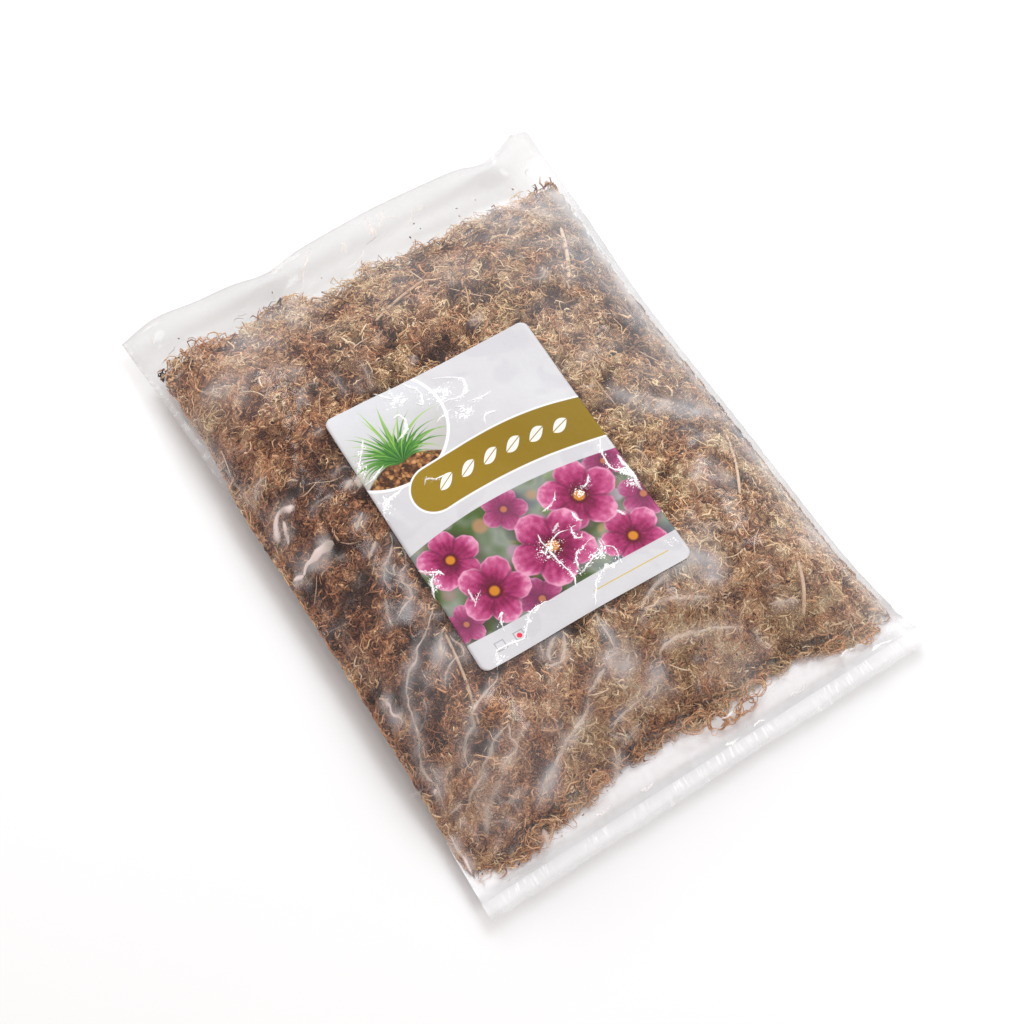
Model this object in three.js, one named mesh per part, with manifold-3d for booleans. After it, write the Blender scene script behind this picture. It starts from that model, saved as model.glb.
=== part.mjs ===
// A clear film bag of dried long-fibre sphagnum moss, lying on its back with a sticker on its front.
// The bag is one welded film envelope: side welds, a far weld with empty film before it, and a mouth weld with
// two loose ruffled lips beyond it. Inside lies one tangled mat of moss strands, with dry stems in its surface.
// Millimetres, X across the bag, Y along it from mouth to far end, Z up, origin on the floor under the middle.

import * as THREE from "three";
import { mergeVertices } from "three/addons/utils/BufferGeometryUtils.js";
import Module from "manifold-3d";

const wasm = await Module();
wasm.setup();

// ---------------------------------------------------------------- driving dimensions
const bagWidth = 300; // at the four corners
const bagLength = 436; // from the free edge of the lips to the far edge
const waist = 8.5; // how far each side is drawn in at mid-length
const fillHeight = 60; // top of the film over the thickest moss
const filmWall = 0.6; // one film, made thick enough to be a solid
const sideWeld = 5;
const farWeld = 6;
const lipLength = 12; // film beyond the mouth weld
const mouthWeld = 4;
const sideHeight = 17; // height of the side welds at mid-length
const mouthHeight = 4; // height of the mouth weld
const slackGap = 2.4; // air between the two films where no moss lies
const topShoulder = { side: 62, mouth: 95, far: 100 }; // run over which the top film climbs
const underShoulder = { side: 48, mouth: 62, far: 80 }; // run over which the back film comes down
const vent = { x: 133, y: -193, radius: 2 };

const label = { width: 137, height: 183, corner: 5, thickness: 0.5, x: -16.4, y: -21.8, turn: -1.6 };

const moss = { sideGap: 3, topGap: 0.8, underGap: 0.35, coreSink: 9, underSink: 5, coreInset: 8, give: 1.6 };
const strand = { radius: 4.1, length: 42, rise: 6.5, sink: 2.2 }; // about three times life size
const seatGap = 0.3; // between touching solids

// ---------------------------------------------------------------- small helpers
const clamp = THREE.MathUtils.clamp;
const smooth = (x, from, to) => THREE.MathUtils.smoothstep(x, from, to);
const bump = (distance, width) => Math.exp(-((distance / width) ** 2));
const radians = THREE.MathUtils.degToRad;

// A shoulder: 0 at the weld, 1 from `run` inwards, steepest at the weld.
const shoulder = (inwards, run, power) => 1 - (1 - clamp(inwards / run, 0, 1)) ** power;

// The same random numbers on every run.
function seeded(seed) {
  let state = seed;
  return () => {
    state = (Math.imul(state, 1664525) + 1013904223) >>> 0;
    return state / 4294967296;
  };
}

function solidOf(geometry) {
  const bare = geometry.clone();
  bare.deleteAttribute("normal");
  bare.deleteAttribute("uv");
  const merged = mergeVertices(bare, 1e-4);
  const mesh = new wasm.Mesh({
    numProp: 3,
    vertProperties: merged.attributes.position.array,
    triVerts: new Uint32Array(merged.index.array),
  });
  return new wasm.Manifold(mesh);
}

function geometryOf(solid) {
  const mesh = solid.getMesh();
  const geometry = new THREE.BufferGeometry();
  geometry.setAttribute("position", new THREE.BufferAttribute(new Float32Array(mesh.vertProperties), 3));
  geometry.setIndex(new THREE.BufferAttribute(new Uint32Array(mesh.triVerts), 1));
  geometry.computeVertexNormals();
  return geometry;
}

// The largest of a solid's separate pieces, without scraps that a join left loose.
function largestBody(solid) {
  return solid.decompose().reduce((best, piece) => (piece.volume() > best.volume() ? piece : best));
}

// A closed slab between two height functions over one grid: place(s, t) gives [x, y], low and high give z there.
function slab(sLines, tLines, place, low, high) {
  const columns = sLines.length;
  const rows = tLines.length;
  const points = [];
  const faces = [];
  for (const height of [low, high]) {
    for (const t of tLines) {
      for (const s of sLines) {
        const [x, y] = place(s, t);
        points.push(x, y, height(x, y));
      }
    }
  }
  const at = (layer, row, column) => (layer * rows + row) * columns + column;
  for (let row = 0; row + 1 < rows; row++) {
    for (let column = 0; column + 1 < columns; column++) {
      const [a, b] = [at(0, row, column), at(0, row, column + 1)];
      const [c, d] = [at(0, row + 1, column + 1), at(0, row + 1, column)];
      faces.push(a, c, b, a, d, c);
      faces.push(...[a, b, c, a, c, d].map((index) => index + rows * columns));
    }
  }
  const wall = (a, b) => faces.push(a, b, b + rows * columns, a, b + rows * columns, a + rows * columns);
  for (let column = 0; column + 1 < columns; column++) {
    wall(at(0, 0, column), at(0, 0, column + 1));
    wall(at(0, rows - 1, column + 1), at(0, rows - 1, column));
  }
  for (let row = 0; row + 1 < rows; row++) {
    wall(at(0, row + 1, 0), at(0, row, 0));
    wall(at(0, row, columns - 1), at(0, row + 1, columns - 1));
  }
  const geometry = new THREE.BufferGeometry();
  geometry.setAttribute("position", new THREE.Float32BufferAttribute(points, 3));
  geometry.setIndex(faces);
  return geometry;
}

// `count` + 1 lines from -1 to 1, closer together towards both ends.
function gridLines(count, crowding) {
  return Array.from({ length: count + 1 }, (_, i) => {
    const t = (2 * i) / count - 1;
    return Math.sign(t) * (1 - (1 - Math.abs(t)) ** crowding);
  });
}

// ---------------------------------------------------------------- the shape of the bag
const mouthEdge = -bagLength / 2 + lipLength; // y of the mouth weld's outer line
const farEdge = bagLength / 2;

// Half the bag's width at y: drawn in most at mid-length.
const halfWidth = (y) => bagWidth / 2 - waist * (1 - clamp(y / farEdge, -1, 1) ** 2);
const fromSide = (x, y) => halfWidth(y) - Math.abs(x);
const fromMouth = (y) => y - mouthEdge;
const fromFar = (y) => farEdge - y;

// Height of the free far edge: slack waves along it, and one corner standing up.
const farEdgeHeight = (x) => {
  const waves = 5 * bump(x + 122, 20) - 7 * bump(x + 47, 18) + 4 * bump(x - 35, 45) - 9 * bump(x - 122, 17);
  const corners = 15 * bump(x - 152, 14) - 5 * bump(x + 152, 14);
  return 14 + waves + corners;
};

// Height of the line where the two films meet, carried across the whole bag.
function midHeight(x, y) {
  const along = mouthHeight + (sideHeight - mouthHeight) * smooth(y, mouthEdge, mouthEdge + 105);
  return THREE.MathUtils.lerp(along, farEdgeHeight(x), smooth(y, 118, farEdge));
}

// How full the bag is under the top film, 0 at the welds and 1 over the middle.
const topFill = (x, y) =>
  shoulder(fromSide(x, y) - sideWeld, topShoulder.side, 2.2) *
  shoulder(fromMouth(y) - mouthWeld, topShoulder.mouth, 2.3) *
  shoulder(fromFar(y) - 22, topShoulder.far, 2);
const underFill = (x, y) =>
  shoulder(fromSide(x, y) - sideWeld, underShoulder.side, 2) *
  shoulder(fromMouth(y) - mouthWeld, underShoulder.mouth, 2) *
  shoulder(fromFar(y) - 30, underShoulder.far, 2);

// Half the slack between the films: nothing at the welds, slackGap / 2 a little way in.
const slack = (x, y) =>
  (slackGap / 2) *
  shoulder(Math.min(fromSide(x, y) - sideWeld, fromMouth(y) - mouthWeld, fromFar(y) - farWeld), 12, 2);

// Long soft folds of the top film, strongest where it climbs.
const folds = (x, y) => {
  const across = 1.5 * Math.sin(x / 17 + 1.3 * Math.sin(y / 43)) * Math.sin(y / 31 + 0.9);
  return across + 1.1 * Math.sin(x / 29 - y / 21 + 2);
};

const topOuter = (x, y) => {
  const mid = midHeight(x, y);
  const fill = topFill(x, y);
  return mid + filmWall + slack(x, y) + (fillHeight - 2.5 - mid) * fill + folds(x, y) * Math.min(1, 3 * fill);
};
const underOuter = (x, y) => {
  const fill = underFill(x, y);
  return Math.max(0, (midHeight(x, y) - filmWall - slack(x, y)) * (1 - fill));
};
const topInner = (x, y) => topOuter(x, y) - filmWall;
const underInner = (x, y) => underOuter(x, y) + filmWall;

// One grid serves the film's outside and inside, so that both have the same facets. Lines from -1 to 1 span the
// cavity, and lines past them lie on the outer edges of the welds.
const cavityAcross = gridLines(16, 1.4);
const cavityAlong = gridLines(22, 1.3);
const outsideAcross = [-2, ...cavityAcross, 2];
const outsideAlong = [-2, ...cavityAlong, 2];
const placeFilm = (s, t) => {
  const inner = THREE.MathUtils.mapLinear(t, -1, 1, mouthEdge + mouthWeld, farEdge - farWeld);
  const y = clamp(Math.abs(t) > 1 ? t * bagLength : inner, mouthEdge, farEdge);
  const x = Math.abs(s) > 1 ? Math.sign(s) * halfWidth(y) : s * (halfWidth(y) - sideWeld);
  return [x, y];
};

// ---------------------------------------------------------------- the film envelope with its lips
// One lip beyond the mouth weld: the front one lifts and ruffles, the back one drops to the floor.
function lip(isFront) {
  const lines = gridLines(38, 1);
  const rows = [0, 0.5, 1];
  const place = (s, t) => {
    const y = THREE.MathUtils.lerp(mouthEdge + 1.5, -bagLength / 2, 1 - t);
    return [(s * bagWidth) / 2, y];
  };
  const out = (y) => clamp((mouthEdge - y) / lipLength, 0, 1);
  const ruffle = (x) => 1.1 * Math.sin(x / 3.6 + 2 * Math.sin(x / 23)) * (0.6 + 0.4 * Math.sin(x / 13));
  const low = isFront
    ? (x, y) => mouthHeight - 0.1 + out(y) * (1.5 + ruffle(x))
    : (x, y) => mouthHeight - 0.5 - out(y) * (2.6 + 0.3 * ruffle(x + 4));
  return solidOf(slab(lines, rows, place, low, (x, y) => low(x, y) + filmWall));
}

function makeBagFilm() {
  const envelope = solidOf(slab(outsideAcross, outsideAlong, placeFilm, underOuter, topOuter));
  const cavityHigh = (x, y) => Math.max(topInner(x, y), midHeight(x, y) + 0.1);
  const cavityLow = (x, y) => Math.min(underInner(x, y), midHeight(x, y) - 0.1);
  const cavity = solidOf(slab(cavityAcross, cavityAlong, placeFilm, cavityLow, cavityHigh));
  const ventPunch = new THREE.CylinderGeometry(vent.radius, vent.radius, 20, 12);
  ventPunch.rotateX(Math.PI / 2);
  ventPunch.translate(vent.x, vent.y, midHeight(vent.x, vent.y) + 10);
  return envelope.subtract(cavity).add(lip(true)).add(lip(false)).subtract(solidOf(ventPunch));
}

// ---------------------------------------------------------------- the sticker on the front film
// It copies the film's own facets, so that it lies on them everywhere, and is cut to its rounded outline.
function makeLabel() {
  const rise = (gap) => (x, y) => topOuter(x, y) + gap;
  const skin = solidOf(
    slab(outsideAcross, outsideAlong, placeFilm, rise(seatGap), rise(seatGap + label.thickness)),
  );
  const { width, height, corner } = label;
  const outline = new THREE.Shape();
  outline.moveTo(-width / 2 + corner, -height / 2);
  outline.lineTo(width / 2 - corner, -height / 2);
  outline.absarc(width / 2 - corner, -height / 2 + corner, corner, -Math.PI / 2, 0);
  outline.absarc(width / 2 - corner, height / 2 - corner, corner, 0, Math.PI / 2);
  outline.absarc(-width / 2 + corner, height / 2 - corner, corner, Math.PI / 2, Math.PI);
  outline.absarc(-width / 2 + corner, -height / 2 + corner, corner, Math.PI, 1.5 * Math.PI);
  const extrusion = { depth: 2 * fillHeight, bevelEnabled: false, curveSegments: 4 };
  const cutter = new THREE.ExtrudeGeometry(outline, extrusion);
  cutter.rotateZ(radians(label.turn));
  cutter.translate(label.x, label.y, 0);
  return skin.intersect(solidOf(cutter));
}

// ---------------------------------------------------------------- the moss mat
// The mat's ragged ends, as y over x.
const mossMouthEnd = (x) => -191 + 6 * bump(x - 48, 26) - 5 * bump(x + 122, 26) + 2.5 * Math.sin(x / 11);
const mossFarEnd = (x) => 171 + 5 * bump(x + 62, 20) + 4 * bump(x + 112, 14) + 2.5 * Math.sin(x / 9 + 1);

// A value held between two ends: what comes nearer than `give` to an end is squeezed, never past it.
function squeeze(value, low, high, give) {
  if (value < low + give) return low + give * Math.exp((value - low) / give - 1);
  if (value > high - give) return high - give * Math.exp((high - value) / give - 1);
  return value;
}

// Keeps a point inside the film with the mat's clearances, as moss pressed against it is.
function pressInside(point) {
  const reach = halfWidth(point.y) - sideWeld - moss.sideGap;
  point.x = squeeze(point.x, -reach, reach, moss.give);
  const low = underInner(point.x, point.y) + moss.underGap;
  const high = topInner(point.x, point.y) - moss.topGap;
  point.z = squeeze(point.z, low, Math.max(high, low + moss.give), moss.give / 2);
}

// The dense middle of the mat, held back from the film and the mat's edge so that strands stand clear of it.
const placeCore = (s, t) => {
  const straight = s * (bagWidth / 2 - waist - sideWeld - moss.sideGap);
  const near = mossMouthEnd(straight) + moss.coreInset;
  const far = mossFarEnd(straight) - moss.coreInset;
  const y = THREE.MathUtils.mapLinear(t, -1, 1, near, far);
  const rounded = 1 - 0.04 * (s * t) ** 4;
  return [s * rounded * (halfWidth(y) - sideWeld - moss.sideGap - moss.coreInset), y * rounded];
};
const room = (x, y) => topInner(x, y) - underInner(x, y);
const lumps = (x, y) => 2 * Math.sin(x / 13 + 2 * Math.sin(y / 26)) * Math.sin(y / 12 + Math.sin(x / 21));
const coreHigh = (x, y) => {
  const sink = Math.min(moss.coreSink, 0.35 * room(x, y));
  return topInner(x, y) - sink * (1 + 0.12 * lumps(x, y));
};
const coreLow = (x, y) => underInner(x, y) + Math.min(moss.underSink, 0.2 * room(x, y));

// One strand: a three-sided spindle laid along a curl on a surface point, with its two ends sunk in the surface.
function strandSolid(origin, normal, heading, size) {
  const along = heading.clone().projectOnPlane(normal).normalize();
  const beside = new THREE.Vector3().crossVectors(normal, along);
  const spindle = new THREE.SphereGeometry(1, 3, 4);
  const position = spindle.attributes.position;
  const point = new THREE.Vector3();
  for (let i = 0; i < position.count; i++) {
    point.fromBufferAttribute(position, i);
    const t = Math.acos(clamp(point.y, -1, 1)) / Math.PI;
    const bend = size.curl * (4 * t * (1 - t) - 0.6) + size.wiggle * Math.sin(2 * Math.PI * t);
    const across = size.radius * point.x + bend;
    const up = size.radius * point.z * 0.65 + size.rise * Math.sin(Math.PI * t) - size.sink;
    const place = origin
      .clone()
      .addScaledVector(along, size.length * (t - 0.5))
      .addScaledVector(beside, across)
      .addScaledVector(normal, up);
    pressInside(place);
    position.setXYZ(i, place.x, place.y, place.z);
  }
  return solidOf(spindle);
}

function strandSize(random, scale = 1) {
  return {
    radius: strand.radius * scale * (0.75 + 0.5 * random()),
    length: strand.length * scale * (0.65 + 0.7 * random()),
    curl: (random() - 0.5) * 34 * scale,
    wiggle: (random() - 0.5) * 16 * scale,
    rise: strand.rise * (0.6 + 0.8 * random()),
    sink: strand.sink,
  };
}

function surfaceNormal(height, x, y, side) {
  const step = 4;
  const slopeX = (height(x + step, y) - height(x - step, y)) / (2 * step);
  const slopeY = (height(x, y + step) - height(x, y - step)) / (2 * step);
  return new THREE.Vector3(-slopeX, -slopeY, 1).normalize().multiplyScalar(side);
}

// Strands over one face of the mat, on a jittered grid.
function faceStrands(random, height, side, columns, rows) {
  const made = [];
  for (let row = 0; row < rows; row++) {
    for (let column = 0; column < columns; column++) {
      const s = ((column + 0.15 + 0.7 * random()) / columns) * 2 - 1;
      const t = ((row + 0.15 + 0.7 * random()) / rows) * 2 - 1;
      const [x, y] = placeCore(s, t);
      const normal = surfaceNormal(height, x, y, side);
      const turn = 2 * Math.PI * random();
      const heading = new THREE.Vector3(Math.cos(turn), Math.sin(turn), 0);
      const origin = new THREE.Vector3(x, y, height(x, y));
      made.push(strandSolid(origin, normal, heading, strandSize(random)));
    }
  }
  return made;
}

// Loops and tips that stand out of the mat's edge all round.
function edgeStrands(random, count) {
  const made = [];
  for (let i = 0; i < count; i++) {
    const turn = (2 * Math.PI * (i + 0.5 * random())) / count;
    const [s, t] = [Math.cos(turn), Math.sin(turn)];
    const stretch = 0.995 / Math.max(Math.abs(s), Math.abs(t));
    const [x, y] = placeCore(s * stretch, t * stretch);
    const onSide = Math.abs(s) > Math.abs(t);
    const outwards = onSide ? new THREE.Vector3(Math.sign(s), 0, 0) : new THREE.Vector3(0, Math.sign(t), 0);
    const heading = new THREE.Vector3(-outwards.y, outwards.x, 0.4 * (random() - 0.5));
    const origin = new THREE.Vector3(x, y, (coreHigh(x, y) + coreLow(x, y)) / 2);
    const size = { ...strandSize(random, 0.9), rise: 8 + 5 * random(), sink: 3 };
    made.push(strandSolid(origin, outwards, heading, size));
  }
  return made;
}

// ---------------------------------------------------------------- dry stems lying in the mat's surface
// Each from one end to the other, as [x, y], with its thickness.
const stems = [
  { name: "grass_stem_1", from: [122, 128], to: [92, 74], thick: 4.2 },
  { name: "grass_stem_2", from: [121, -52], to: [97, -96], thick: 3 },
  { name: "grass_stem_3", from: [104, -143], to: [88, -172], thick: 3.6 },
  { name: "grass_stem_4", from: [-92, -78], to: [-104, -133], thick: 2.8 },
  { name: "grass_stem_5", from: [-20, 118], to: [24, 132], thick: 3 },
];

// A flat five-sided stem that follows the film's inside with `spare` taken off or put on all round.
function stemSolid(stem, spare) {
  const length = Math.hypot(stem.to[0] - stem.from[0], stem.to[1] - stem.from[1]);
  const half = stem.thick / 2;
  const rod = new THREE.CylinderGeometry(0.7 * half + spare, half + spare, length + 2 * spare, 5, 4);
  const angle = Math.atan2(stem.to[1] - stem.from[1], stem.to[0] - stem.from[0]);
  const position = rod.attributes.position;
  for (let i = 0; i < position.count; i++) {
    const along = position.getY(i);
    const across = 1.6 * Math.cos((Math.PI * along) / length) - position.getX(i);
    const x = (stem.from[0] + stem.to[0]) / 2 + along * Math.cos(angle) - across * Math.sin(angle);
    const y = (stem.from[1] + stem.to[1]) / 2 + along * Math.sin(angle) + across * Math.cos(angle);
    const depth = moss.topGap + 1 + 0.7 * half;
    position.setXYZ(i, x, y, topInner(x, y) - depth + 0.7 * position.getZ(i));
  }
  return solidOf(rod);
}

function makeMossMat() {
  const random = seeded(20);
  const core = solidOf(slab(gridLines(12, 1.15), gridLines(16, 1.1), placeCore, coreLow, coreHigh));
  const strands = [
    ...faceStrands(random, coreHigh, 1, 11, 15),
    ...faceStrands(random, coreLow, -1, 4, 7),
    ...edgeStrands(random, 42),
  ];
  const inside = slab(
    cavityAcross,
    cavityAlong,
    placeFilm,
    (x, y) => underInner(x, y) + seatGap,
    (x, y) => Math.max(topInner(x, y) - seatGap, underInner(x, y) + 2 * seatGap),
  );
  const joined = wasm.Manifold.union([core, ...strands]).intersect(solidOf(inside));
  const beds = wasm.Manifold.union(stems.map((stem) => stemSolid(stem, 0.4)));
  return largestBody(joined.subtract(beds).simplify(0.05));
}

// ---------------------------------------------------------------- the assembled object
const clearFilm = { color: 0xe9e9ea, roughness: 0.12, transparent: true, opacity: 0.25 };
const finishes = {
  film: new THREE.MeshStandardMaterial(clearFilm),
  paper: new THREE.MeshStandardMaterial({ color: 0xdcdade, roughness: 0.3 }),
  moss: new THREE.MeshStandardMaterial({ color: 0x8a6440, roughness: 0.95 }),
  straw: new THREE.MeshStandardMaterial({ color: 0xb98f60, roughness: 0.8 }),
};

const bagOfMoss = new THREE.Group();
function addPiece(name, solid, material) {
  const mesh = new THREE.Mesh(geometryOf(solid), material);
  mesh.name = name;
  bagOfMoss.add(mesh);
}

addPiece("bag_film", makeBagFilm(), finishes.film);
addPiece("label", makeLabel(), finishes.paper);
addPiece("moss_mat", makeMossMat(), finishes.moss);
for (const stem of stems) addPiece(stem.name, stemSolid(stem, 0), finishes.straw);

export default bagOfMoss;
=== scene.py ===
import bpy
import math
import numpy as np
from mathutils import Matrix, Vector


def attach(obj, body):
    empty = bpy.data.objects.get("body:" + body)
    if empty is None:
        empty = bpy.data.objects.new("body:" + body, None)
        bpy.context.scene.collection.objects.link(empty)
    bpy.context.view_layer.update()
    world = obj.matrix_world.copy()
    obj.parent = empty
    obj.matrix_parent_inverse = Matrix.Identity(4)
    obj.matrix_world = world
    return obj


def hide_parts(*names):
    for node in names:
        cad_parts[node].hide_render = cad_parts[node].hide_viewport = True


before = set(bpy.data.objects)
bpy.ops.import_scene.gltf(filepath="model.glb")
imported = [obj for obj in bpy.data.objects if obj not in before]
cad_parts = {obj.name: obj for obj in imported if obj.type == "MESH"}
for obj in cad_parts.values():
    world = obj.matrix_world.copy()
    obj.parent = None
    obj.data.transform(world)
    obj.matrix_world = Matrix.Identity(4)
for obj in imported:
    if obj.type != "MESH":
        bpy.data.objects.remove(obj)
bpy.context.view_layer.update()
mm = 0.001
print("frame loaded")

# ---- camera: orbit angles in degrees, lens in mm on a 36 mm sensor, lengths in mm
cameraView = {"azimuth": -32.86, "elevation": 62.76, "lens": 61.4, "sensor": 36,
              "target": (-10.3, -20.1, 20.0), "distance": 1036.9}

azimuth, elevation = math.radians(cameraView["azimuth"]), math.radians(cameraView["elevation"])
towardsCamera = Vector((math.sin(azimuth) * math.cos(elevation), -math.cos(azimuth) * math.cos(elevation),
                        math.sin(elevation)))
camera = bpy.data.objects.new("camera", bpy.data.cameras.new("camera"))
camera.data.lens = cameraView["lens"]
camera.data.sensor_width = cameraView["sensor"]
camera.data.clip_end = 20
camera.location = (Vector(cameraView["target"]) + towardsCamera * cameraView["distance"]) * mm
camera.rotation_euler = towardsCamera.to_track_quat("Z", "Y").to_euler()
bpy.context.scene.collection.objects.link(camera)
bpy.context.scene.camera = camera
print("camera placed")


# ---- helpers for whole arrays; lengths are in mm until a mesh is made
def ease(value, low, high):
    # 0 below low, 1 above high, 3t^2 - 2t^3 between
    t = np.clip((value - low) / (high - low), 0, 1)
    return t * t * (3 - 2 * t)


def hump(distance, width):
    # exp(-(d / w)^2)
    return np.exp(-(distance / width) ** 2)


def patchNoise(x, y, size, seed):
    # random numbers on a lattice `size` apart, blended between by 3t^2 - 2t^3, from -1 to 1
    table = np.random.default_rng(seed).random((97, 97)) * 2 - 1
    u, v = x / size + 211.37, y / size + 197.71
    i, j = np.floor(u).astype(int), np.floor(v).astype(int)
    fu, fv = u - i, v - j
    fu, fv = fu * fu * (3 - 2 * fu), fv * fv * (3 - 2 * fv)
    a, b = table[i % 97, j % 97], table[(i + 1) % 97, j % 97]
    c, d = table[i % 97, (j + 1) % 97], table[(i + 1) % 97, (j + 1) % 97]
    return (a * (1 - fu) + b * fu) * (1 - fv) + (c * (1 - fu) + d * fu) * fv


def layeredNoise(x, y, size, seed, layers=3):
    # patchNoise at size, size / 2, size / 4 ... with weights 1, 1/2, 1/4 ...
    total = sum(patchNoise(x, y, size / 2 ** k, seed + k) / 2 ** k for k in range(layers))
    return total / (2 - 2 ** (1 - layers))


def lineNoise(x, size, seed, row=0.0):
    # patchNoise along one straight row of its lattice
    return patchNoise(x, 0 * x + row, size, seed)


def bendPlaces(x, y, amount, size, seed):
    # each place moved by up to `amount` in x and in y, by two noises
    return x + amount * patchNoise(x, y, size, seed), y + amount * patchNoise(x, y, size, seed + 1)


def unit(vectors, least=0.0):
    # each vector over its length; `least` is added to the lengths where one may be 0
    return vectors / (np.linalg.norm(vectors, axis=-1, keepdims=True) + least)


def squareTo(vectors, axis):
    # less the part along a unit axis, then made one unit long
    return unit(vectors - (vectors * axis).sum(-1, keepdims=True) * axis)


def nearSegment(x, y, start, end):
    # share of the way along a segment to its point nearest each place, and the distance to that point
    (ax, ay), (bx, by) = start, end
    share = np.clip(((x - ax) * (bx - ax) + (y - ay) * (by - ay)) / ((bx - ax) ** 2 + (by - ay) ** 2), 0, 1)
    return share, np.hypot(x - ax - share * (bx - ax), y - ay - share * (by - ay))


def asPoints(x, y, z):
    # three arrays of any one shape to rows of points
    return np.stack([x, y, z], -1).reshape(-1, 3)


def buildPiece(name, points, faceSets, material, smooth=True):
    # points: n x 3 in mm; faceSets: arrays of corner indices, one array for each number of corners
    corners = np.concatenate([faces.reshape(-1) for faces in faceSets])
    totals = np.concatenate([np.full(len(faces), faces.shape[1]) for faces in faceSets])
    mesh = bpy.data.meshes.new(name)
    mesh.vertices.add(len(points))
    mesh.vertices.foreach_set("co", (np.asarray(points) * mm).astype(np.float32).reshape(-1))
    mesh.loops.add(len(corners))
    mesh.loops.foreach_set("vertex_index", corners.astype(np.int32))
    mesh.polygons.add(len(totals))
    mesh.polygons.foreach_set("loop_start", np.concatenate([[0], np.cumsum(totals)[:-1]]).astype(np.int32))
    mesh.polygons.foreach_set("use_smooth", np.full(len(totals), smooth))
    mesh.update(calc_edges=True)
    mesh.validate()
    piece = bpy.data.objects.new(name, mesh)
    bpy.context.scene.collection.objects.link(piece)
    mesh.materials.append(material)
    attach(piece, "root")
    print(f"{name}: {int((totals - 2).sum())} triangles")
    return piece


def paintPoints(piece, name, values):
    # one number for each point, read by the material
    attribute = piece.data.attributes.new(name, "FLOAT", "POINT")
    attribute.data.foreach_set("value", np.asarray(values, np.float32).reshape(-1))


def gridFaces(rows, columns, start=0, flip=False):
    # quads of a rows x columns grid of points; flip turns them over
    index = start + np.arange(rows * columns).reshape(rows, columns)
    quads = np.stack([index[:-1, :-1], index[:-1, 1:], index[1:, 1:], index[1:, :-1]], -1).reshape(-1, 4)
    return quads[:, ::-1] if flip else quads


def shellFaces(rows, columns):
    # an upper grid of points, a lower one turned over, and the wall of quads that joins their rims
    size = rows * columns
    index = np.arange(size).reshape(rows, columns)
    rim = np.concatenate([index[0, :-1], index[:-1, -1], index[-1, :0:-1], index[:0:-1, 0]])
    following = np.roll(rim, -1)
    walls = np.stack([rim, rim + size, following + size, following], -1)
    return np.concatenate([gridFaces(rows, columns), gridFaces(rows, columns, size, True), walls])


# ---- the bag's shape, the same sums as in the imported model
bag = {"width": 300, "length": 436, "waist": 8.5, "fill": 60, "wall": 0.6, "sideWeld": 5, "farWeld": 6,
       "lip": 12, "mouthWeld": 4, "sideHeight": 17, "mouthHeight": 4, "flapHeight": 14, "slack": 2.4,
       "topRun": (62, 95, 100), "topPower": (2.2, 2.3, 2), "topFlap": 22,
       "underRun": (48, 62, 80), "underPower": (2, 2, 2), "underFlap": 30,
       "mouthLift": 4.0, "leftSwell": 4.2, "rightNear": 4.4, "rightFar": 3.6, "cornerCut": 8.0,
       "cornerFlare": 6.5, "sideSwell": 3.2}
mouthEdge = -bag["length"] / 2 + bag["lip"]
farEdge = bag["length"] / 2


def halfWidth(x, y):
    # w/2 - waist (1 - (y / far)^2), less waist on the left, which the moss pushes out; on the right the side is
    # drawn in a little towards the mouth, pushed out towards the far end, rounded off at the far corner and
    # flared at the mouth's corner
    right = np.asarray(x) > 0
    waist = bag["waist"] - np.where(right, 0, bag["leftSwell"])
    drawnIn = (bag["rightNear"] * hump(y + 128, 62) - bag["rightFar"] * hump(y - 135, 48)
               + bag["cornerCut"] * ease(y, farEdge - 16, farEdge) ** 3
               - bag["cornerFlare"] * ease(-y, 194, 216) ** 2)
    return bag["width"] / 2 - waist * (1 - np.clip(y / farEdge, -1, 1) ** 2) - right * drawnIn


def shoulder(inwards, run, power):
    # 1 - (1 - d / run)^power
    return 1 - (1 - np.clip(inwards / run, 0, 1)) ** power


def midHeight(x, y):
    # height of the line where the two films meet, carried across; waves in the far flap, one corner standing up
    along = bag["mouthHeight"] + (bag["sideHeight"] - bag["mouthHeight"]) * ease(y, mouthEdge, mouthEdge + 105)
    waves = 5 * hump(x + 122, 20) - 7 * hump(x + 47, 18) + 4 * hump(x - 35, 45) - 9 * hump(x - 122, 17)
    corners = 15 * hump(x - 152, 14) - 5 * hump(x + 152, 14)
    along = along + bag["mouthLift"] * (1 - ease(y, mouthEdge, mouthEdge + 60))
    far = ease(y, 118, farEdge)
    return along * (1 - far) + (bag["flapHeight"] + waves + corners) * far


def weldGaps(x, y):
    # inwards from the side welds and from the mouth weld
    return halfWidth(x, y) - np.abs(x) - bag["sideWeld"], y - mouthEdge - bag["mouthWeld"]


def edgeDistance(x, y):
    # to the nearest weld's inner line
    return np.minimum(np.minimum(*weldGaps(x, y)), farEdge - y - bag["farWeld"])


def fillShare(x, y, runs, powers, flap):
    # the shoulders up from the sides, from the mouth and from the empty flap, multiplied
    gaps = (*weldGaps(x, y), farEdge - y - flap)
    sides, mouth, far = (shoulder(gap, run, power) for gap, run, power in zip(gaps, runs, powers))
    return sides * mouth * far


def topFill(x, y):
    # 0 at the edges, 1 where the front film is at its full height
    return fillShare(x, y, bag["topRun"], bag["topPower"], bag["topFlap"])


def underFill(x, y):
    # 0 at the edges, 1 where the back film rests on the floor
    return fillShare(x, y, bag["underRun"], bag["underPower"], bag["underFlap"])


def sideFull(x, y):
    # how far the moss fills the bag out over the side welds: 1 along the left side up to its upper third
    return np.where(x < 0, 1 - ease(y, 60, 130), 0.6) * ease(y, -206, -178)


def rightUpper(x, y):
    # 1 along the upper half of the right side, where the film stands further off the moss
    return (np.asarray(x) > 0) * hump(y - 118, 62)


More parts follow.
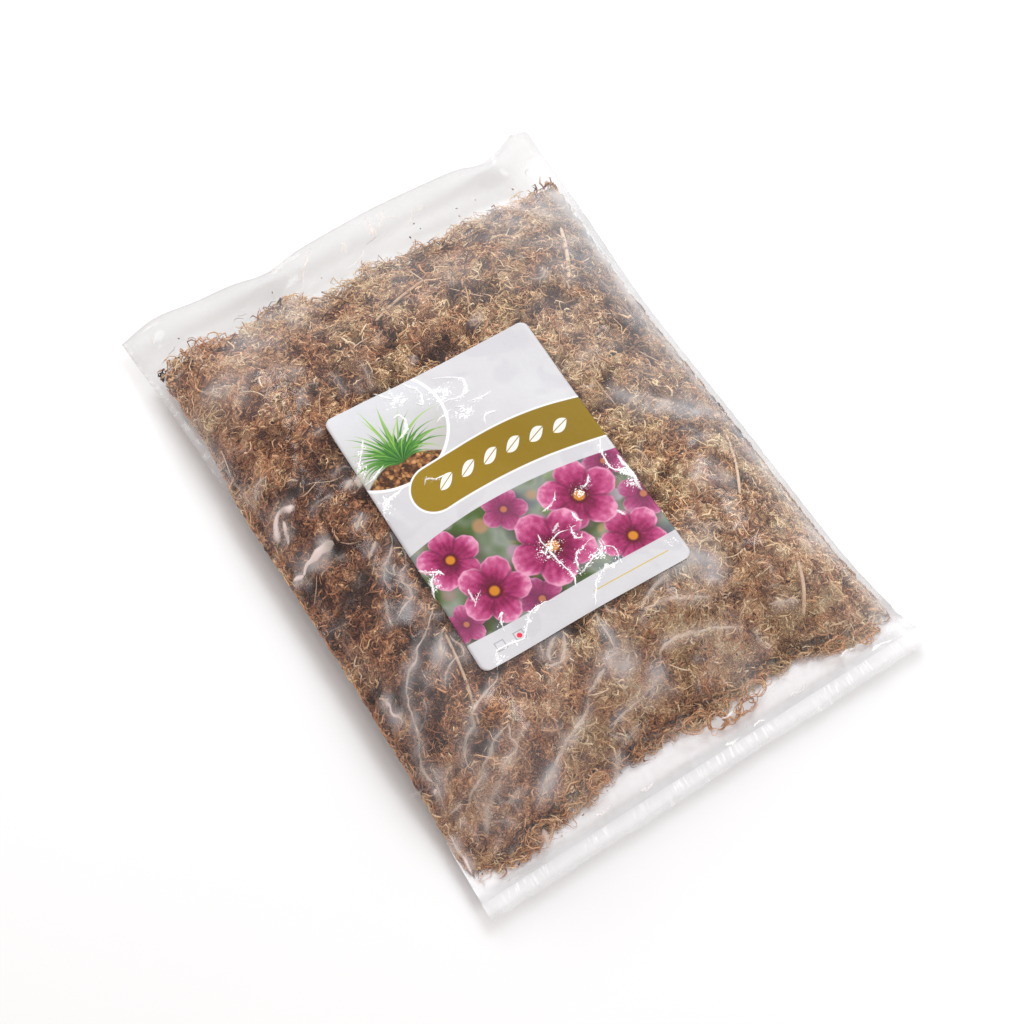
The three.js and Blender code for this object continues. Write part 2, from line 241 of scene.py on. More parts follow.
def sideSwell(x, y):
    # a bulge of both films a few mm in from the side edges
    inwards = halfWidth(x, y) - np.abs(x)
    return bag["sideSwell"] * sideFull(x, y) * ease(inwards, 0.3, 4) * (1 - ease(inwards, 9, 36))


def halfSlack(x, y):
    # how far each film stands off the line between them next to the welds
    return bag["slack"] / 2 * shoulder(edgeDistance(x, y), 12, 2)


def topOuter(x, y):
    # weld height + slack + fill share of the way to the full height + long folds + swell at the sides
    mid, fill = midHeight(x, y), topFill(x, y)
    slack = halfSlack(x, y)
    folds = 1.5 * np.sin(x / 17 + 1.3 * np.sin(y / 43)) * np.sin(y / 31 + 0.9)
    folds = folds + 1.1 * np.sin(x / 29 - y / 21 + 2)
    return (mid + bag["wall"] + slack + (bag["fill"] - 2.5 - mid) * fill + folds * np.minimum(1, 3 * fill)
            + sideSwell(x, y))


def underOuter(x, y):
    # weld height - slack, less the fill's share of it, and never below the floor
    low = (midHeight(x, y) - bag["wall"] - halfSlack(x, y)) * (1 - underFill(x, y))
    return np.maximum(0, low - sideSwell(x, y))


# ---- creases of the front film: path in mm, half width in mm, whitening from 0 to 1, partly painted
# highlight; one that starts narrow and ends broad has the word flare
# on the sticker the creases' whitening is all painted glint: white lines where the folds would catch the light
labelCreasesAndGlints = [
    ([(48, -24), (44, -30), (43, -36), (42, -41), (43, -45), (43, -48)], 0.7, 0.95),
    ([(50, -38), (50, -44), (50, -50), (50, -56), (49, -61), (49, -66)], 2.2, 0.80),
    ([(42, -45), (46, -49), (49, -55)], 1.2, 0.80),
    ([(7, -55), (7, -59), (8, -63), (10, -63)], 0.8, 0.85),
    ([(5, -64), (1, -64), (0, -69), (2, -72), (5, -70)], 0.7, 0.85),
    ([(0, -65), (-5, -63), (-11, -64), (-15, -67), (-17, -70), (-17, -75), (-16, -80), (-15, -86),
      (-15, -92), (-18, -98)], 0.6, 0.90),
    ([(-17, -57), (-18, -63), (-17, -69)], 0.8, 0.80),
    ([(10, -77), (5, -76), (-1, -79), (-5, -79), (-8, -83), (-10, -90), (-5, -89), (1, -87), (6, -86),
      (9, -83), (10, -77)], 0.6, 0.90),
    ([(10, -77), (11, -80), (11, -84), (14, -87), (14, -92), (11, -96), (6, -97), (5, -94), (2, -96),
      (-2, -98), (-7, -101), (-12, -108), (-17, -115)], 0.6, 0.90),
    ([(7, -39), (3, -43), (-2, -46), (-8, -47)], 0.5, 0.75),
    ([(29, -40), (26, -44), (23, -46), (21, -44)], 1.8, 0.85),
    ([(29, -68), (30, -71), (32, -74)], 1.2, 0.60),
    ([(-3, -57), (-6, -59), (-10, -61)], 1.4, 0.70),
    ([(-30, -97), (-33, -95), (-38, -94), (-43, -94), (-47, -95), (-52, -100), (-57, -105), (-62, -105),
      (-68, -104), (-74, -104), (-77, -108), (-80, -114)], 0.8, 0.90),
    ([(-86, -40), (-82, -44), (-77, -47), (-75, -51)], 1.2, 0.80),
    ([(-79, -47), (-83, -50), (-85, -55), (-87, -60)], 1.1, 0.85),
    ([(-68, -64), (-69, -69), (-69, -74)], 0.8, 0.70),
    ([(-62, -68), (-66, -71), (-71, -76)], 0.6, 0.70),
    ([(-64, -88), (-59, -86), (-63, -90), (-65, -97)], 0.7, 0.80),
    ([(-68, 50), (-73, 43), (-78, 37), (-83, 31)], 0.8, 0.80),
    ([(-67, 29), (-74, 25), (-80, 23), (-84, 22)], 0.8, 0.85),
    ([(-48, 73), (-45, 70), (-42, 66), (-37, 63), (-33, 63)], 0.9, 0.70),
    ([(-37, 73), (-39, 68), (-38, 63)], 0.8, 0.60),
    ([(-30, 71), (-27, 66), (-24, 61), (-25, 55), (-27, 51), (-30, 55)], 1.3, 0.75),
    ([(-15, 64), (-8, 61), (-1, 56), (2, 51), (-1, 44), (-6, 43), (-13, 45), (-20, 45), (-23, 42)], 1.0,
      0.70),
    ([(1, 53), (0, 47), (-4, 43)], 2.6, 0.70),
    ([(-47, 53), (-42, 53), (-41, 48), (-43, 43), (-48, 40), (-52, 38)], 1.6, 0.75),
    ([(-63, 10), (-70, 8), (-75, 7), (-80, 4), (-84, 0), (-83, -5)], 1.0, 0.90),
    ([(12, 36), (6, 35), (1, 36), (-3, 37)], 0.8, 0.85),
    ([(-4, 17), (-2, 23), (1, 24), (7, 22)], 0.9, 0.85),
    ([(-40, 4), (-46, 4), (-51, 7), (-55, 4)], 0.8, 0.80),
    ([(-12, 39), (-9, 36), (-9, 31)], 0.8, 0.70),
    ([(-27, 36), (-23, 38), (-19, 38), (-14, 39)], 0.8, 0.80),
]
# on the film the whitening is partly the film's own stress whitening and partly painted highlight: the broad
# pinkish-white blobs on the left side and the brightest streaks are painted reflections
filmCreasesAndGlints = [
    ([(-120.8, 39.1), (-124.6, 42.3), (-128.5, 44.4), (-131.8, 44.2), (-135.3, 40.6), (-137.3, 33.0)], 2.6,
      0.86),
    ([(-129.8, 40.3), (-131.7, 34.0), (-134.1, 27.0)], 1.5, 0.80),
    ([(-135.5, 7), (-132, 9.8), (-128, 9.5), (-122.5, 8.9), (-114, 7.4)], 5.4, 0.92, "flare"),
    ([(-141.6, 11.5), (-138.5, 9.1), (-135.5, 6.4)], 1.2, 0.98),
    ([(-92, 10), (-96, 7), (-101, 2)], 1.5, 0.50),
    ([(-95, -10), (-100, -13), (-104, -16)], 1.4, 0.50),
    ([(-125, 68), (-129, 69), (-133, 69), (-136, 63)], 1.3, 0.45),
    ([(-87, 30), (-92, 28), (-95, 26)], 2.2, 0.50),
    ([(-83, 31), (-86, 23)], 2.2, 0.50),
    ([(-86, -10), (-89, -17), (-93, -22), (-98, -25), (-102, -30), (-104, -36), (-103, -42)], 0.7, 0.50),
    ([(-93, -28), (-96, -30), (-97, -35)], 1.2, 0.45),
    ([(-87, -33), (-90, -33), (-94, -35), (-96, -40), (-95, -45), (-96, -49), (-98, -52), (-104, -53),
      (-109, -56), (-112, -56)], 0.8, 0.50),
    ([(-108, -41), (-111, -47), (-113, -53), (-113, -58)], 1.4, 0.45),
    ([(-87, -58), (-91, -64), (-97, -70), (-104, -75), (-110, -78), (-114, -83), (-120, -85), (-126, -93),
      (-129, -101), (-131, -110), (-134, -118), (-137, -123), (-139, -130), (-138, -143), (-141, -155),
      (-143, -159)], 0.8, 0.60),
    ([(-90, -76), (-95, -80), (-100, -86), (-103, -91), (-110, -92)], 1.2, 0.40),
    ([(-116, -78), (-119, -85), (-124, -90)], 3.5, 0.35),
    ([(-110, -89), (-115, -94), (-115, -102)], 3.5, 0.35),
    ([(-91, -80), (-91, -86), (-89, -91), (-91, -96), (-96, -95), (-101, -97), (-106, -101), (-109, -106)],
      0.8, 0.50),
    ([(-80, -114), (-84, -118), (-89, -120), (-95, -122), (-100, -123), (-105, -127), (-107, -132),
      (-112, -133), (-116, -137), (-119, -143), (-119, -148), (-119, -153)], 1.1, 0.60),
    ([(-89, -141), (-97, -143), (-103, -145), (-108, -149), (-113, -151), (-117, -155), (-125, -157),
      (-128, -160), (-132, -162)], 1.6, 0.50),
    ([(-90, -141), (-94, -148), (-94, -154), (-104, -157), (-107, -162)], 0.8, 0.50),
    ([(-80, -146), (-87, -149), (-93, -153)], 1.6, 0.35),
    ([(-107, -160), (-113, -164), (-120, -167), (-125, -173), (-130, -181)], 2.2, 0.35),
    ([(-16, -141), (-24, -142), (-29, -143)], 3.0, 0.40),
    ([(-29, -143), (-37, -147), (-45, -150)], 1.6, 0.50),
    ([(-45, -150), (-50, -157), (-59, -161), (-69, -165), (-77, -169), (-83, -173), (-89, -176),
      (-94, -180), (-101, -184)], 1.2, 0.60),
    ([(-2, -165), (-2, -158), (3, -151), (9, -149), (18, -150), (28, -153), (39, -156), (53, -162)], 1.3,
      0.45),
    ([(-8, -163), (-21, -166), (-32, -167), (-44, -169)], 0.6, 0.45),
    ([(-133, -131), (-136, -132), (-135, -137), (-136, -143)], 1.0, 0.50),
    ([(-131, -158), (-135, -158), (-140, -157)], 1.0, 0.50),
    ([(-136, -162), (-136, -168)], 1.0, 0.40),
    ([(-137, -80), (-136, -88), (-137, -94), (-135, -101), (-138, -103)], 0.9, 0.85),
    ([(-136, -96), (-134, -101)], 1.8, 0.85),
    ([(-141, -143), (-138, -142)], 1.3, 0.85),
    ([(-145, -164), (-145, -170), (-145, -177), (-145, -184), (-146, -191)], 0.9, 0.85),
    ([(-103, -169), (-104, -172), (-108, -173), (-113, -173)], 2.0, 0.40),
    ([(-42, -114), (-48, -117), (-52, -121), (-53, -126)], 1.2, 0.45),
    ([(-38, -114), (-41, -121), (-46, -127), (-51, -128), (-57, -125)], 1.2, 0.45),
    ([(-17, -115), (-18, -121), (-18, -129), (-19, -137)], 0.8, 0.50),
    ([(5, -127), (18, -120), (31, -117)], 1.4, 0.35),
    ([(6, -128), (19, -129), (33, -135), (46, -141)], 1.6, 0.35),
    ([(71, -159), (81, -162), (91, -166)], 1.5, 0.35),
    ([(69, 6), (75, -5), (82, -16), (100, -32), (133, -40)], 4.0, 0.60),
    ([(79, -70), (90, -84), (103, -92)], 3.0, 0.15),
    ([(-14, 215), (-22, 206), (-27, 201), (-35, 187)], 0.9, 0.60),
    ([(27, 215), (26, 206), (24, 198), (31, 202), (40, 213)], 1.2, 0.50),
    ([(6, 206), (1, 194)], 1.5, 0.35),
    ([(58, 199), (64, 201)], 1.5, 0.40),
    ([(-133, 206), (-135, 199)], 1.0, 0.40),
    ([(-43, -179), (-47, -184), (-51, -189), (-57, -193)], 2.2, 0.45),
    ([(-101, -192), (-102, -197), (-104, -201)], 2.0, 0.60),
    ([(-91, 127), (-81, 114), (-71, 112)], 3.5, 0.30),
    ([(-132, 141), (-122, 137), (-115, 128)], 3.0, 0.25),
    ([(-129, 146), (-124, 137), (-121, 129)], 1.5, 0.30),
    ([(140, 178), (143, 169), (143, 159)], 2.5, 0.25),
    ([(-143, 141), (-142, 134), (-141, 127)], 2.5, 0.35),
    ([(-72, 200), (-68, 179), (-71, 160)], 4.0, 0.20),
    ([(-90, 166), (-88, 154)], 3.0, 0.30),
    ([(-142, 135), (-141, 116), (-140, 97), (-139, 73), (-138, 53)], 0.8, 0.35),
]
mouthGlints = [  # painted glints: small bright strokes on folds in the empty margin at the mouth
    ([(118, -203.9), (126, -203.1), (133, -204.6)], 0.9, 0.85),
    ([(98, -198.5), (104, -197), (109, -198.5)], 0.7, 0.80),
    ([(33, -204.5), (38, -203), (42, -204)], 0.8, 0.75),
    ([(13, -204), (19, -205.2), (24, -204.4)], 0.8, 0.75),
    ([(17, -193), (21, -193.8), (26, -192.4)], 0.7, 0.70),
    ([(-43, -200), (-38, -201.5), (-32, -200.6)], 0.8, 0.80),
    ([(-72, -199), (-66, -200.4), (-60, -199.2)], 0.7, 0.75),
    ([(60, -200), (68, -201.5), (73, -199.5)], 0.8, 0.70),
]
milkPatches = [  # soft milky places where the film stands off the moss: x, y, radius, strength
    (52, -118, 13, 0.42), (36, -112, 11, 0.35), (-22, -142, 11, 0.4), (-8, -163, 8, 0.3), (-104, -88, 9, 0.25),
    (-108, -55, 6, 0.25), (-90, 150, 26, 0.16), (-110, 132, 22, 0.2), (-60, 150, 22, 0.14), (10, 150, 30, 0.1),
    (70, 140, 30, 0.1), (105, -25, 22, 0.14), (110, 40, 24, 0.1), (88, -84, 14, 0.14), (-46, -112, 8, 0.2),
    (40, -178, 16, 0.12), (112, -130, 16, 0.12), (-60, 175, 20, 0.16), (120, 120, 20, 0.1),
    (-136, -140, 8, 0.15), (-88, -178, 9, 0.2), (-100, -165, 8, 0.15),
]
glintSpots = [  # speckled glints on the sticker: x, y and half lengths
    (-38, 62, 11, 7), (-14, 52, 13, 8), (-9, 33, 10, 8), (-79, 5, 5, 9), (-82, -53, 5, 7), (48, -52, 7, 14),
    (-17, -68, 12, 9), (5, -86, 10, 7), (-75, -110, 6, 5), (44, -102, 5, 4), (-79, 33, 4, 8), (18, -46, 7, 7),
]

# ---- wrinkles; warp is the amount, size and seed of the noise that bends them
wrinkle = {"swell": 1.0, "fine": 0.05, "lines": 0.5, "randomCreases": 150, "seed": 12, "labelCalm": 0.75,
           "warp": (5, 19, 5)}
label = {"width": 137, "height": 183, "corner": 5, "x": -16.4, "y": -21.8, "turn": math.radians(-1.6),
         "seat": 0.3, "thick": 0.3, "columns": 70, "rows": 94}


def insideLabel(x, y, margin):
    # signed distance into the label's rectangle, more than 0 inside when margin is 0
    dx, dy = x - label["x"], y - label["y"]
    u = dx * math.cos(label["turn"]) + dy * math.sin(label["turn"])
    v = -dx * math.sin(label["turn"]) + dy * math.cos(label["turn"])
    return np.minimum(label["width"] / 2 - np.abs(u), label["height"] / 2 - np.abs(v)) - margin


def creaseFields(x, y, paths):
    # for each path a ridge 0.8 (w + 0.2)^0.5 (0.4 + g) high and w + 1.2 broad, with a shallow dip at
    # its sides, and a haze 0.36 g strong and w + 2.8 broad; g is the whitening, partly painted highlight
    rise, haze = np.zeros_like(x), np.zeros_like(x)
    around = 12  # a crease is felt no further than this
    for path, halfBreadth, whiteningAndGlint, *flare in paths:
        path = np.array(path, float)
        steps = np.linalg.norm(np.diff(path, axis=0), axis=1)
        along = np.concatenate([[0], np.cumsum(steps)])
        (lowX, lowY), (highX, highY) = path.min(axis=0) - around, path.max(axis=0) + around
        near = (x > lowX) & (x < highX) & (y > lowY) & (y < highY)
        px, py = x[near], y[near]
        best, place = np.full(px.shape, 1e9), np.zeros(px.shape)
        for k in range(len(path) - 1):
            share, distance = nearSegment(px, py, path[k], path[k + 1])
            closer = distance < best
            best = np.where(closer, distance, best)
            place = np.where(closer, (along[k] + share * steps[k]) / along[-1], place)
        taper = np.clip(5 * place * (1 - place), 0, 1) ** 0.7
        breadth = halfBreadth + 1.2
        height = 0.8 * math.sqrt(halfBreadth + 0.2) * (0.4 + whiteningAndGlint)
        rise[near] += taper * height * (hump(best, breadth) - 0.3 * hump(best, 3 * breadth))
        haze[near] = np.maximum(haze[near], 0.36 * whiteningAndGlint * taper * hump(best, halfBreadth + 2.8))
    return rise, haze


def scatterCreases():
    # short bent creases, more of them towards the mouth and the left side
    rng = np.random.default_rng(wrinkle["seed"])
    made = []
    while len(made) < wrinkle["randomCreases"]:
        x, y = rng.uniform(-138, 138), rng.uniform(-195, 205)
        if rng.random() > 0.35 + 0.65 * float(ease(-x - 0.7 * y, -120, 120)):
            continue
        turn, bend, length = rng.uniform(0, math.pi), rng.normal(0, 0.5), rng.uniform(7, 26)
        steps = [(x, y)]
        for k in range(4):
            angle = turn + bend * (k - 1.5)
            lastX, lastY = steps[-1]
            steps.append((lastX + length / 4 * math.cos(angle), lastY + length / 4 * math.sin(angle)))
        made.append((steps, rng.uniform(0.3, 1.3), rng.uniform(0.05, 0.3)))
    return [crease for crease in made if max(float(insideLabel(*np.array(p, float), 2)) for p in crease[0]) < 0]


looseCreases = scatterCreases()


def filmRelief(x, y):
    # wrinkles of the front film: broad swells + ridges on the zero lines of a noise + creases, calmer under the
    # label, the whole rounded off below by log(1 + exp(3 (h + 0.4))) / 3 - 0.4
    inside = ease(edgeDistance(x, y), -1, 14)
    onMoss = ease(170 - y, -6, 14)
    warpX, warpY = bendPlaces(x, y, *wrinkle["warp"])
    swell = 1.3 * patchNoise(x, y, 46, 1) + 0.9 * patchNoise(warpX, warpY, 21, 2)
    swell = swell + 0.42 * patchNoise(warpX, warpY, 9, 3)
    lines = hump(patchNoise(warpX, warpY, 30, 7), 0.1) * ease(patchNoise(x, y, 40, 8), -0.1, 0.6)
    lines += 0.6 * hump(patchNoise(warpX, warpY, 14, 9), 0.12) * ease(patchNoise(x, y, 33, 10), 0, 0.6)
    fine = patchNoise(warpX, warpY, 4.1, 11)
    calm = 1 - wrinkle["labelCalm"] * ease(insideLabel(x, y, 0), -6, 3)
    height = calm * (wrinkle["swell"] * swell * (0.45 + 0.55 * onMoss) + wrinkle["lines"] * lines
                     + wrinkle["fine"] * fine * (0.4 + 0.6 * onMoss)
                     + creaseFields(x, y, filmCreasesAndGlints + looseCreases)[0])
    height += 0.35 * creaseFields(x, y, labelCreasesAndGlints)[0]
    return inside * (np.log1p(np.exp(3 * (height + 0.4))) / 3 - 0.4)


def filmMilk(x, y):
    # whitening: a veil by regions, partly haze and partly painted reflection of the bright studio, broken up by
    # noise, soft patches, hazy creases that carry painted highlights, and a milky line at the right
    warpX, warpY = bendPlaces(x, y, *wrinkle["warp"])
    veil = (0.002 + 0.06 * ease(x + 0.45 * y, 10, 150) + 0.025 * hump(x + 95, 45) * hump(y + 115, 60)
            + 0.035 * ease(y, 70, 150) + 0.05 * ease(x, 60, 130) + 0.05 * hump(x + 95, 40) * hump(y + 165, 30))
    veil *= 1 + 0.6 * patchNoise(x, y, 28, 15) + 0.4 * patchNoise(warpX, warpY, 11, 16)
    patches = np.zeros_like(x)
    for px, py, radius, strength in milkPatches:
        patches = np.maximum(patches, 0.95 * strength * hump(np.hypot(warpX - px, warpY - py), radius))
    patches *= 0.75 + 0.4 * patchNoise(x, y, 9, 14)
    streaks = creaseFields(x, y, filmCreasesAndGlints + looseCreases)[1] * (0.7 + 0.6 * patchNoise(warpX, warpY, 6, 17))
    edge = x - halfWidth(x, y)
    rim = (ease(edge, -20, -8) * (1 - ease(edge, -7, -4)) * (0.1 + 0.1 * rightUpper(x, y))
           * (1 + 0.5 * patchNoise(x, y, 12, 22)))
    return np.clip(np.maximum(veil, patches) + streaks + rim, 0, 1)


def weldDrop(x, y):
    # both films lie within one wall's thickness on the welds
    return bag["wall"] * (1 - ease(edgeDistance(x, y), -5, 2))


def frontSurface(x, y):
    # front film + relief + small puckers across the side welds
    weld = 1 - ease(edgeDistance(x, y), -3, 3)
    pucker = 0.35 * np.sin(y / 2.1 + 3 * patchNoise(x, y, 30, 20)) * weld * ease(np.abs(x) - 120, 0, 15)
    return topOuter(x, y) + filmRelief(x, y) + pucker - weldDrop(x, y)


# ---- moss: where the mat ends, and how its surface lies under the film
moss = {"gap": 1.5, "pitDepth": 6.5, "creviceDepth": 2.5, "endThickness": 4.0, "endSlope": 1.0, "far": 174,
        "sideGap": 0.7, "weldGap": 5.6, "upperGap": 2.0}
stems = {  # from and to in mm, thickness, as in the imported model
    "grass_stem_1": ((122, 128), (92, 74), 4.2), "grass_stem_2": ((121, -52), (97, -96), 3.0),
    "grass_stem_3": ((104, -143), (88, -172), 3.6), "grass_stem_4": ((-92, -78), (-104, -133), 2.8),
    "grass_stem_5": ((-20, 118), (24, 132), 3.0)}
mouthLine = [  # the mat's edge towards the mouth: x, y
    (-150, -181), (-141, -184), (-132, -190), (-117, -194), (-109, -193), (-98, -188), (-81, -188.5),
    (-66, -185), (-43, -179), (-34, -182), (-23, -181), (-11, -179), (2, -181), (18, -183), (31, -182),
    (46, -181), (59, -180), (76, -180), (84, -183), (100, -187.5), (114, -190.5), (132, -190.5), (150, -186)]


def mossMouth(x, ragged=1.0):
    # the line above made ragged by noise; strand tips reach 3 to 8 mm further
    line = np.interp(x, [point[0] for point in mouthLine], [point[1] for point in mouthLine])
    return line + ragged * (1.3 * lineNoise(x, 8, 31) + 1.3 * lineNoise(x, 3.5, 32))


def mossFar(x):
    # the mat's far edge: a straight line with four bulges and a dent, made ragged by noise
    bulges = 8 * hump(x + 115, 45) + 10 * hump(x + 52, 20) + 4 * hump(x - 8, 10) + 2 * hump(x - 122, 12)
    return (moss["far"] + bulges - 3 * hump(x - 145, 8) + 2 * lineNoise(x, 12, 33) + 1.8 * lineNoise(x, 5, 34))


def sideReach(x, y):
    # how far from the middle the moss goes
    return (halfWidth(x, y) - moss["sideGap"] - moss["weldGap"] * (1 - sideFull(x, y))
            - moss["upperGap"] * rightUpper(x, y))


def stemDistance(x, y):
    # to the nearest stem's middle line
    nearest = np.full(x.shape, 1e9)
    for start, end, thick in stems.values():
        nearest = np.minimum(nearest, nearSegment(x, y, start, end)[1])
    return nearest


def pits(x, y):
    # 0 on the lumps that press against the film, 1 in the deepest gaps: broad hollows and small holes
    hollows = ease(0.55 * layeredNoise(x, y, 17, 40) + 0.45 * layeredNoise(x, y, 8, 45), 0.04, 0.4)
    return np.maximum(0.6 * hollows, holes(x, y) * (0.6 + 0.4 * ease(x + 0.6 * y, -40, 60)))


def holes(x, y):
    # round holes some 7 mm wide, with fairly sharp rims
    bentX, bentY = bendPlaces(x, y, 2.0, 5, 48)
    return ease(0.8 * patchNoise(bentX, bentY, 8, 41) + 0.2 * patchNoise(x, y, 3, 42), 0.2, 0.36)


def crevices(x, y):
    # 1 along a net of narrow gaps between tufts, the zero lines of a bent noise
    bentX, bentY = bendPlaces(x, y, 2, 5, 35)
    return hump(patchNoise(bentX, bentY, 7.5, 37), 0.17) * ease(patchNoise(x, y, 11, 38), -0.6, 0.2)


def mossTop(x, y):
    # close under the film, less the pits, crevices and stems' beds, and thinning to a wedge at both ends
    under = underOuter(x, y)
    room = topOuter(x, y) - under
    sunk = (moss["gap"] + moss["pitDepth"] * pits(x, y) + moss["creviceDepth"] * crevices(x, y)
            + 1.0 * hump(stemDistance(x, y), 1.6))
    inwards = np.maximum(np.minimum(y - mossMouth(x), mossFar(x) - y), 0)
    wedge = under + moss["endThickness"] + moss["endSlope"] * inwards
    return np.minimum(topOuter(x, y) - np.minimum(sunk, 0.5 * room), wedge)


def mossUnder(x, y):
    # close above the back film, with shallow pits, and always 1 mm or more below the top
    room = topOuter(x, y) - underOuter(x, y)
    sunk = np.minimum(moss["gap"] + 1.5 * pits(x + 300, y), 0.3 * room)
    return np.minimum(underOuter(x, y) + sunk, mossTop(x, y) - 1)


# ---- node helpers
def newMaterial(name):
    # a material, its node tree, and the socket that the last shader goes into
    material = bpy.data.materials.new(name)
    material.use_nodes = True
    nodes = material.node_tree.nodes
    nodes.clear()
    return material, material.node_tree, nodes.new("ShaderNodeOutputMaterial").inputs["Surface"]


def newGroup(name, inputs, outputs):
    # inputs and outputs: socket name -> "Float", "Vector" or "Color"
    group = bpy.data.node_groups.new(name, "ShaderNodeTree")
    for direction, sockets in (("INPUT", inputs), ("OUTPUT", outputs)):
        for socketName, kind in sockets.items():
            group.interface.new_socket(socketName, in_out=direction, socket_type="NodeSocket" + kind)
    return group, group.nodes.new("NodeGroupInput").outputs, group.nodes.new("NodeGroupOutput").inputs


def useGroup(tree, group, **values):
    # a node group in a material, each value fed to the input of its name
    node = tree.nodes.new("ShaderNodeGroup")
    node.node_tree = group
    for name, value in values.items():
        feed(tree, node.inputs[name], value)
    return node.outputs


def feed(tree, socket, value):
    # links a socket, or sets a plain value
    if isinstance(value, bpy.types.NodeSocket):
        tree.links.new(value, socket)
    else:
        socket.default_value = value


def calc(tree, operation, a, b=0.0, c=0.0):
    # one Math node; a, b and c are sockets or plain values
    node = tree.nodes.new("ShaderNodeMath")
    node.operation = operation
    for socket, value in zip(node.inputs, (a, b, c)):
        feed(tree, socket, value)
    return node.outputs[0]


def mathNode(operation):
    # a function of the tree and one to three values, for one operation
    return lambda tree, *values: calc(tree, operation, *values)


plus, minus, times, divide = (mathNode(name) for name in ("ADD", "SUBTRACT", "MULTIPLY", "DIVIDE"))
timesPlus, absolute, larger = (mathNode(name) for name in ("MULTIPLY_ADD", "ABSOLUTE", "MAXIMUM"))


def reach(tree, u, v):
    # square root of u u + v v
    return calc(tree, "SQRT", timesPlus(tree, u, u, times(tree, v, v)))


def vectorCalc(tree, operation, *values):
    node = tree.nodes.new("ShaderNodeVectorMath")
    node.operation = operation
    for socket, value in zip(node.inputs, values):
        feed(tree, socket, value)
    return node.outputs[0]


def splitVector(tree, vector):
    # its first two numbers
    node = tree.nodes.new("ShaderNodeSeparateXYZ")
    feed(tree, node.inputs[0], vector)
    return node.outputs[0], node.outputs[1]


def rangeOf(tree, value, low, high, toLow=0.0, toHigh=1.0):
    # toLow below low, toHigh above high, 3t^2 - 2t^3 between
    node = tree.nodes.new("ShaderNodeMapRange")
    node.interpolation_type = "SMOOTHSTEP"
    given = {"Value": value, "From Min": low, "From Max": high, "To Min": toLow, "To Max": toHigh}
    for name, number in given.items():
        feed(tree, node.inputs[name], number)
    return node.outputs["Result"]


def blendColour(tree, factor, first, second):
    node = tree.nodes.new("ShaderNodeMix")
    node.data_type = "RGBA"
    for socket, value in ((node.inputs[0], factor), (node.inputs[6], first), (node.inputs[7], second)):
        feed(tree, socket, value)
    return node.outputs[2]


def noise(tree, vector, scale, detail=3.0, rough=0.55, distortion=0.0):
    node = tree.nodes.new("ShaderNodeTexNoise")
    feed(tree, node.inputs["Vector"], vector)
    for name, value in (("Scale", scale), ("Detail", detail), ("Roughness", rough), ("Distortion", distortion)):
        node.inputs[name].default_value = value
    return node.outputs["Fac"]


def ramp(tree, factor, stops):
    # stops: place from 0 to 1 and colour
    node = tree.nodes.new("ShaderNodeValToRGB")
    feed(tree, node.inputs[0], factor)
    elements = node.color_ramp.elements
    while len(elements) < len(stops):
        elements.new(0.5)
    for element, (position, hexCode) in zip(elements, stops):
        element.position = position
        element.color = paint(hexCode)
    return node.outputs[0]


def cells(tree, place, scale):
    # a cell pattern: each cell's own colour, and the distance from its middle
    node = tree.nodes.new("ShaderNodeTexVoronoi")
    node.inputs["Scale"].default_value = scale
    tree.links.new(place, node.inputs["Vector"])
    return node.outputs["Color"], node.outputs["Distance"]


def objectPoint(tree):
    return tree.nodes.new("ShaderNodeTexCoord").outputs["Object"]


def attribute(tree, name):
    node = tree.nodes.new("ShaderNodeAttribute")
    node.attribute_name = name
    return node.outputs["Fac"]


def bumpNode(tree, height, strength, distance):
    node = tree.nodes.new("ShaderNodeBump")
    node.inputs["Strength"].default_value = strength
    node.inputs["Distance"].default_value = distance
    feed(tree, node.inputs["Height"], height)
    return node.outputs[0]


def paint(hexCode):
    # sRGB hex to the linear numbers that shaders use, with an alpha of 1
    channels = [int(hexCode[i:i + 2], 16) / 255 for i in (0, 2, 4)]
    return (*(c / 12.92 if c <= 0.04045 else ((c + 0.055) / 1.055) ** 2.4 for c in channels), 1.0)


# shared effect: fine crinkle of thin film, as a height: 0.7 of a broad noise, less 0.6 of what a finer noise is
# off its half-way value
def makeCrinkleGroup():
    group, given, result = newGroup("filmCrinkle", {"Point": "Vector", "Scale": "Float"}, {"Height": "Float"})
    scaled = group.nodes.new("ShaderNodeVectorMath")
    scaled.operation = "SCALE"
    group.links.new(given["Point"], scaled.inputs[0])
    group.links.new(given["Scale"], scaled.inputs["Scale"])
    broad = noise(group, scaled.outputs[0], 1.0, 1.0, 0.5, 0.6)
    fold = absolute(group, minus(group, noise(group, scaled.outputs[0], 1.6, 0.0), 0.5))
    group.links.new(timesPlus(group, fold, -0.6, times(group, broad, 0.7)), result["Height"])
    return group


# shared effect: a tangle of threads on the half-way lines of three bent noises, 1 on a thread and 0 between
def makeThreadGroup():
    group, given, result = newGroup("mossThreads", {"Point": "Vector"}, {"Thread": "Float", "Tone": "Float"})
    layers = []
    for scale, width in ((210.0, 0.075), (330.0, 0.09), (520.0, 0.11)):
        lines = noise(group, given["Point"], scale, 1.0, 0.5, 1.3)
        layers.append(rangeOf(group, absolute(group, minus(group, lines, 0.5)), 0.0, width, 1.0, 0.0))
    thread = larger(group, larger(group, layers[0], layers[1]), times(group, layers[2], 0.7))
    group.links.new(thread, result["Thread"])
    group.links.new(noise(group, given["Point"], 120.0, 3.0, 0.6), result["Tone"])
    return group


crinkleGroup = makeCrinkleGroup()
threadGroup = makeThreadGroup()

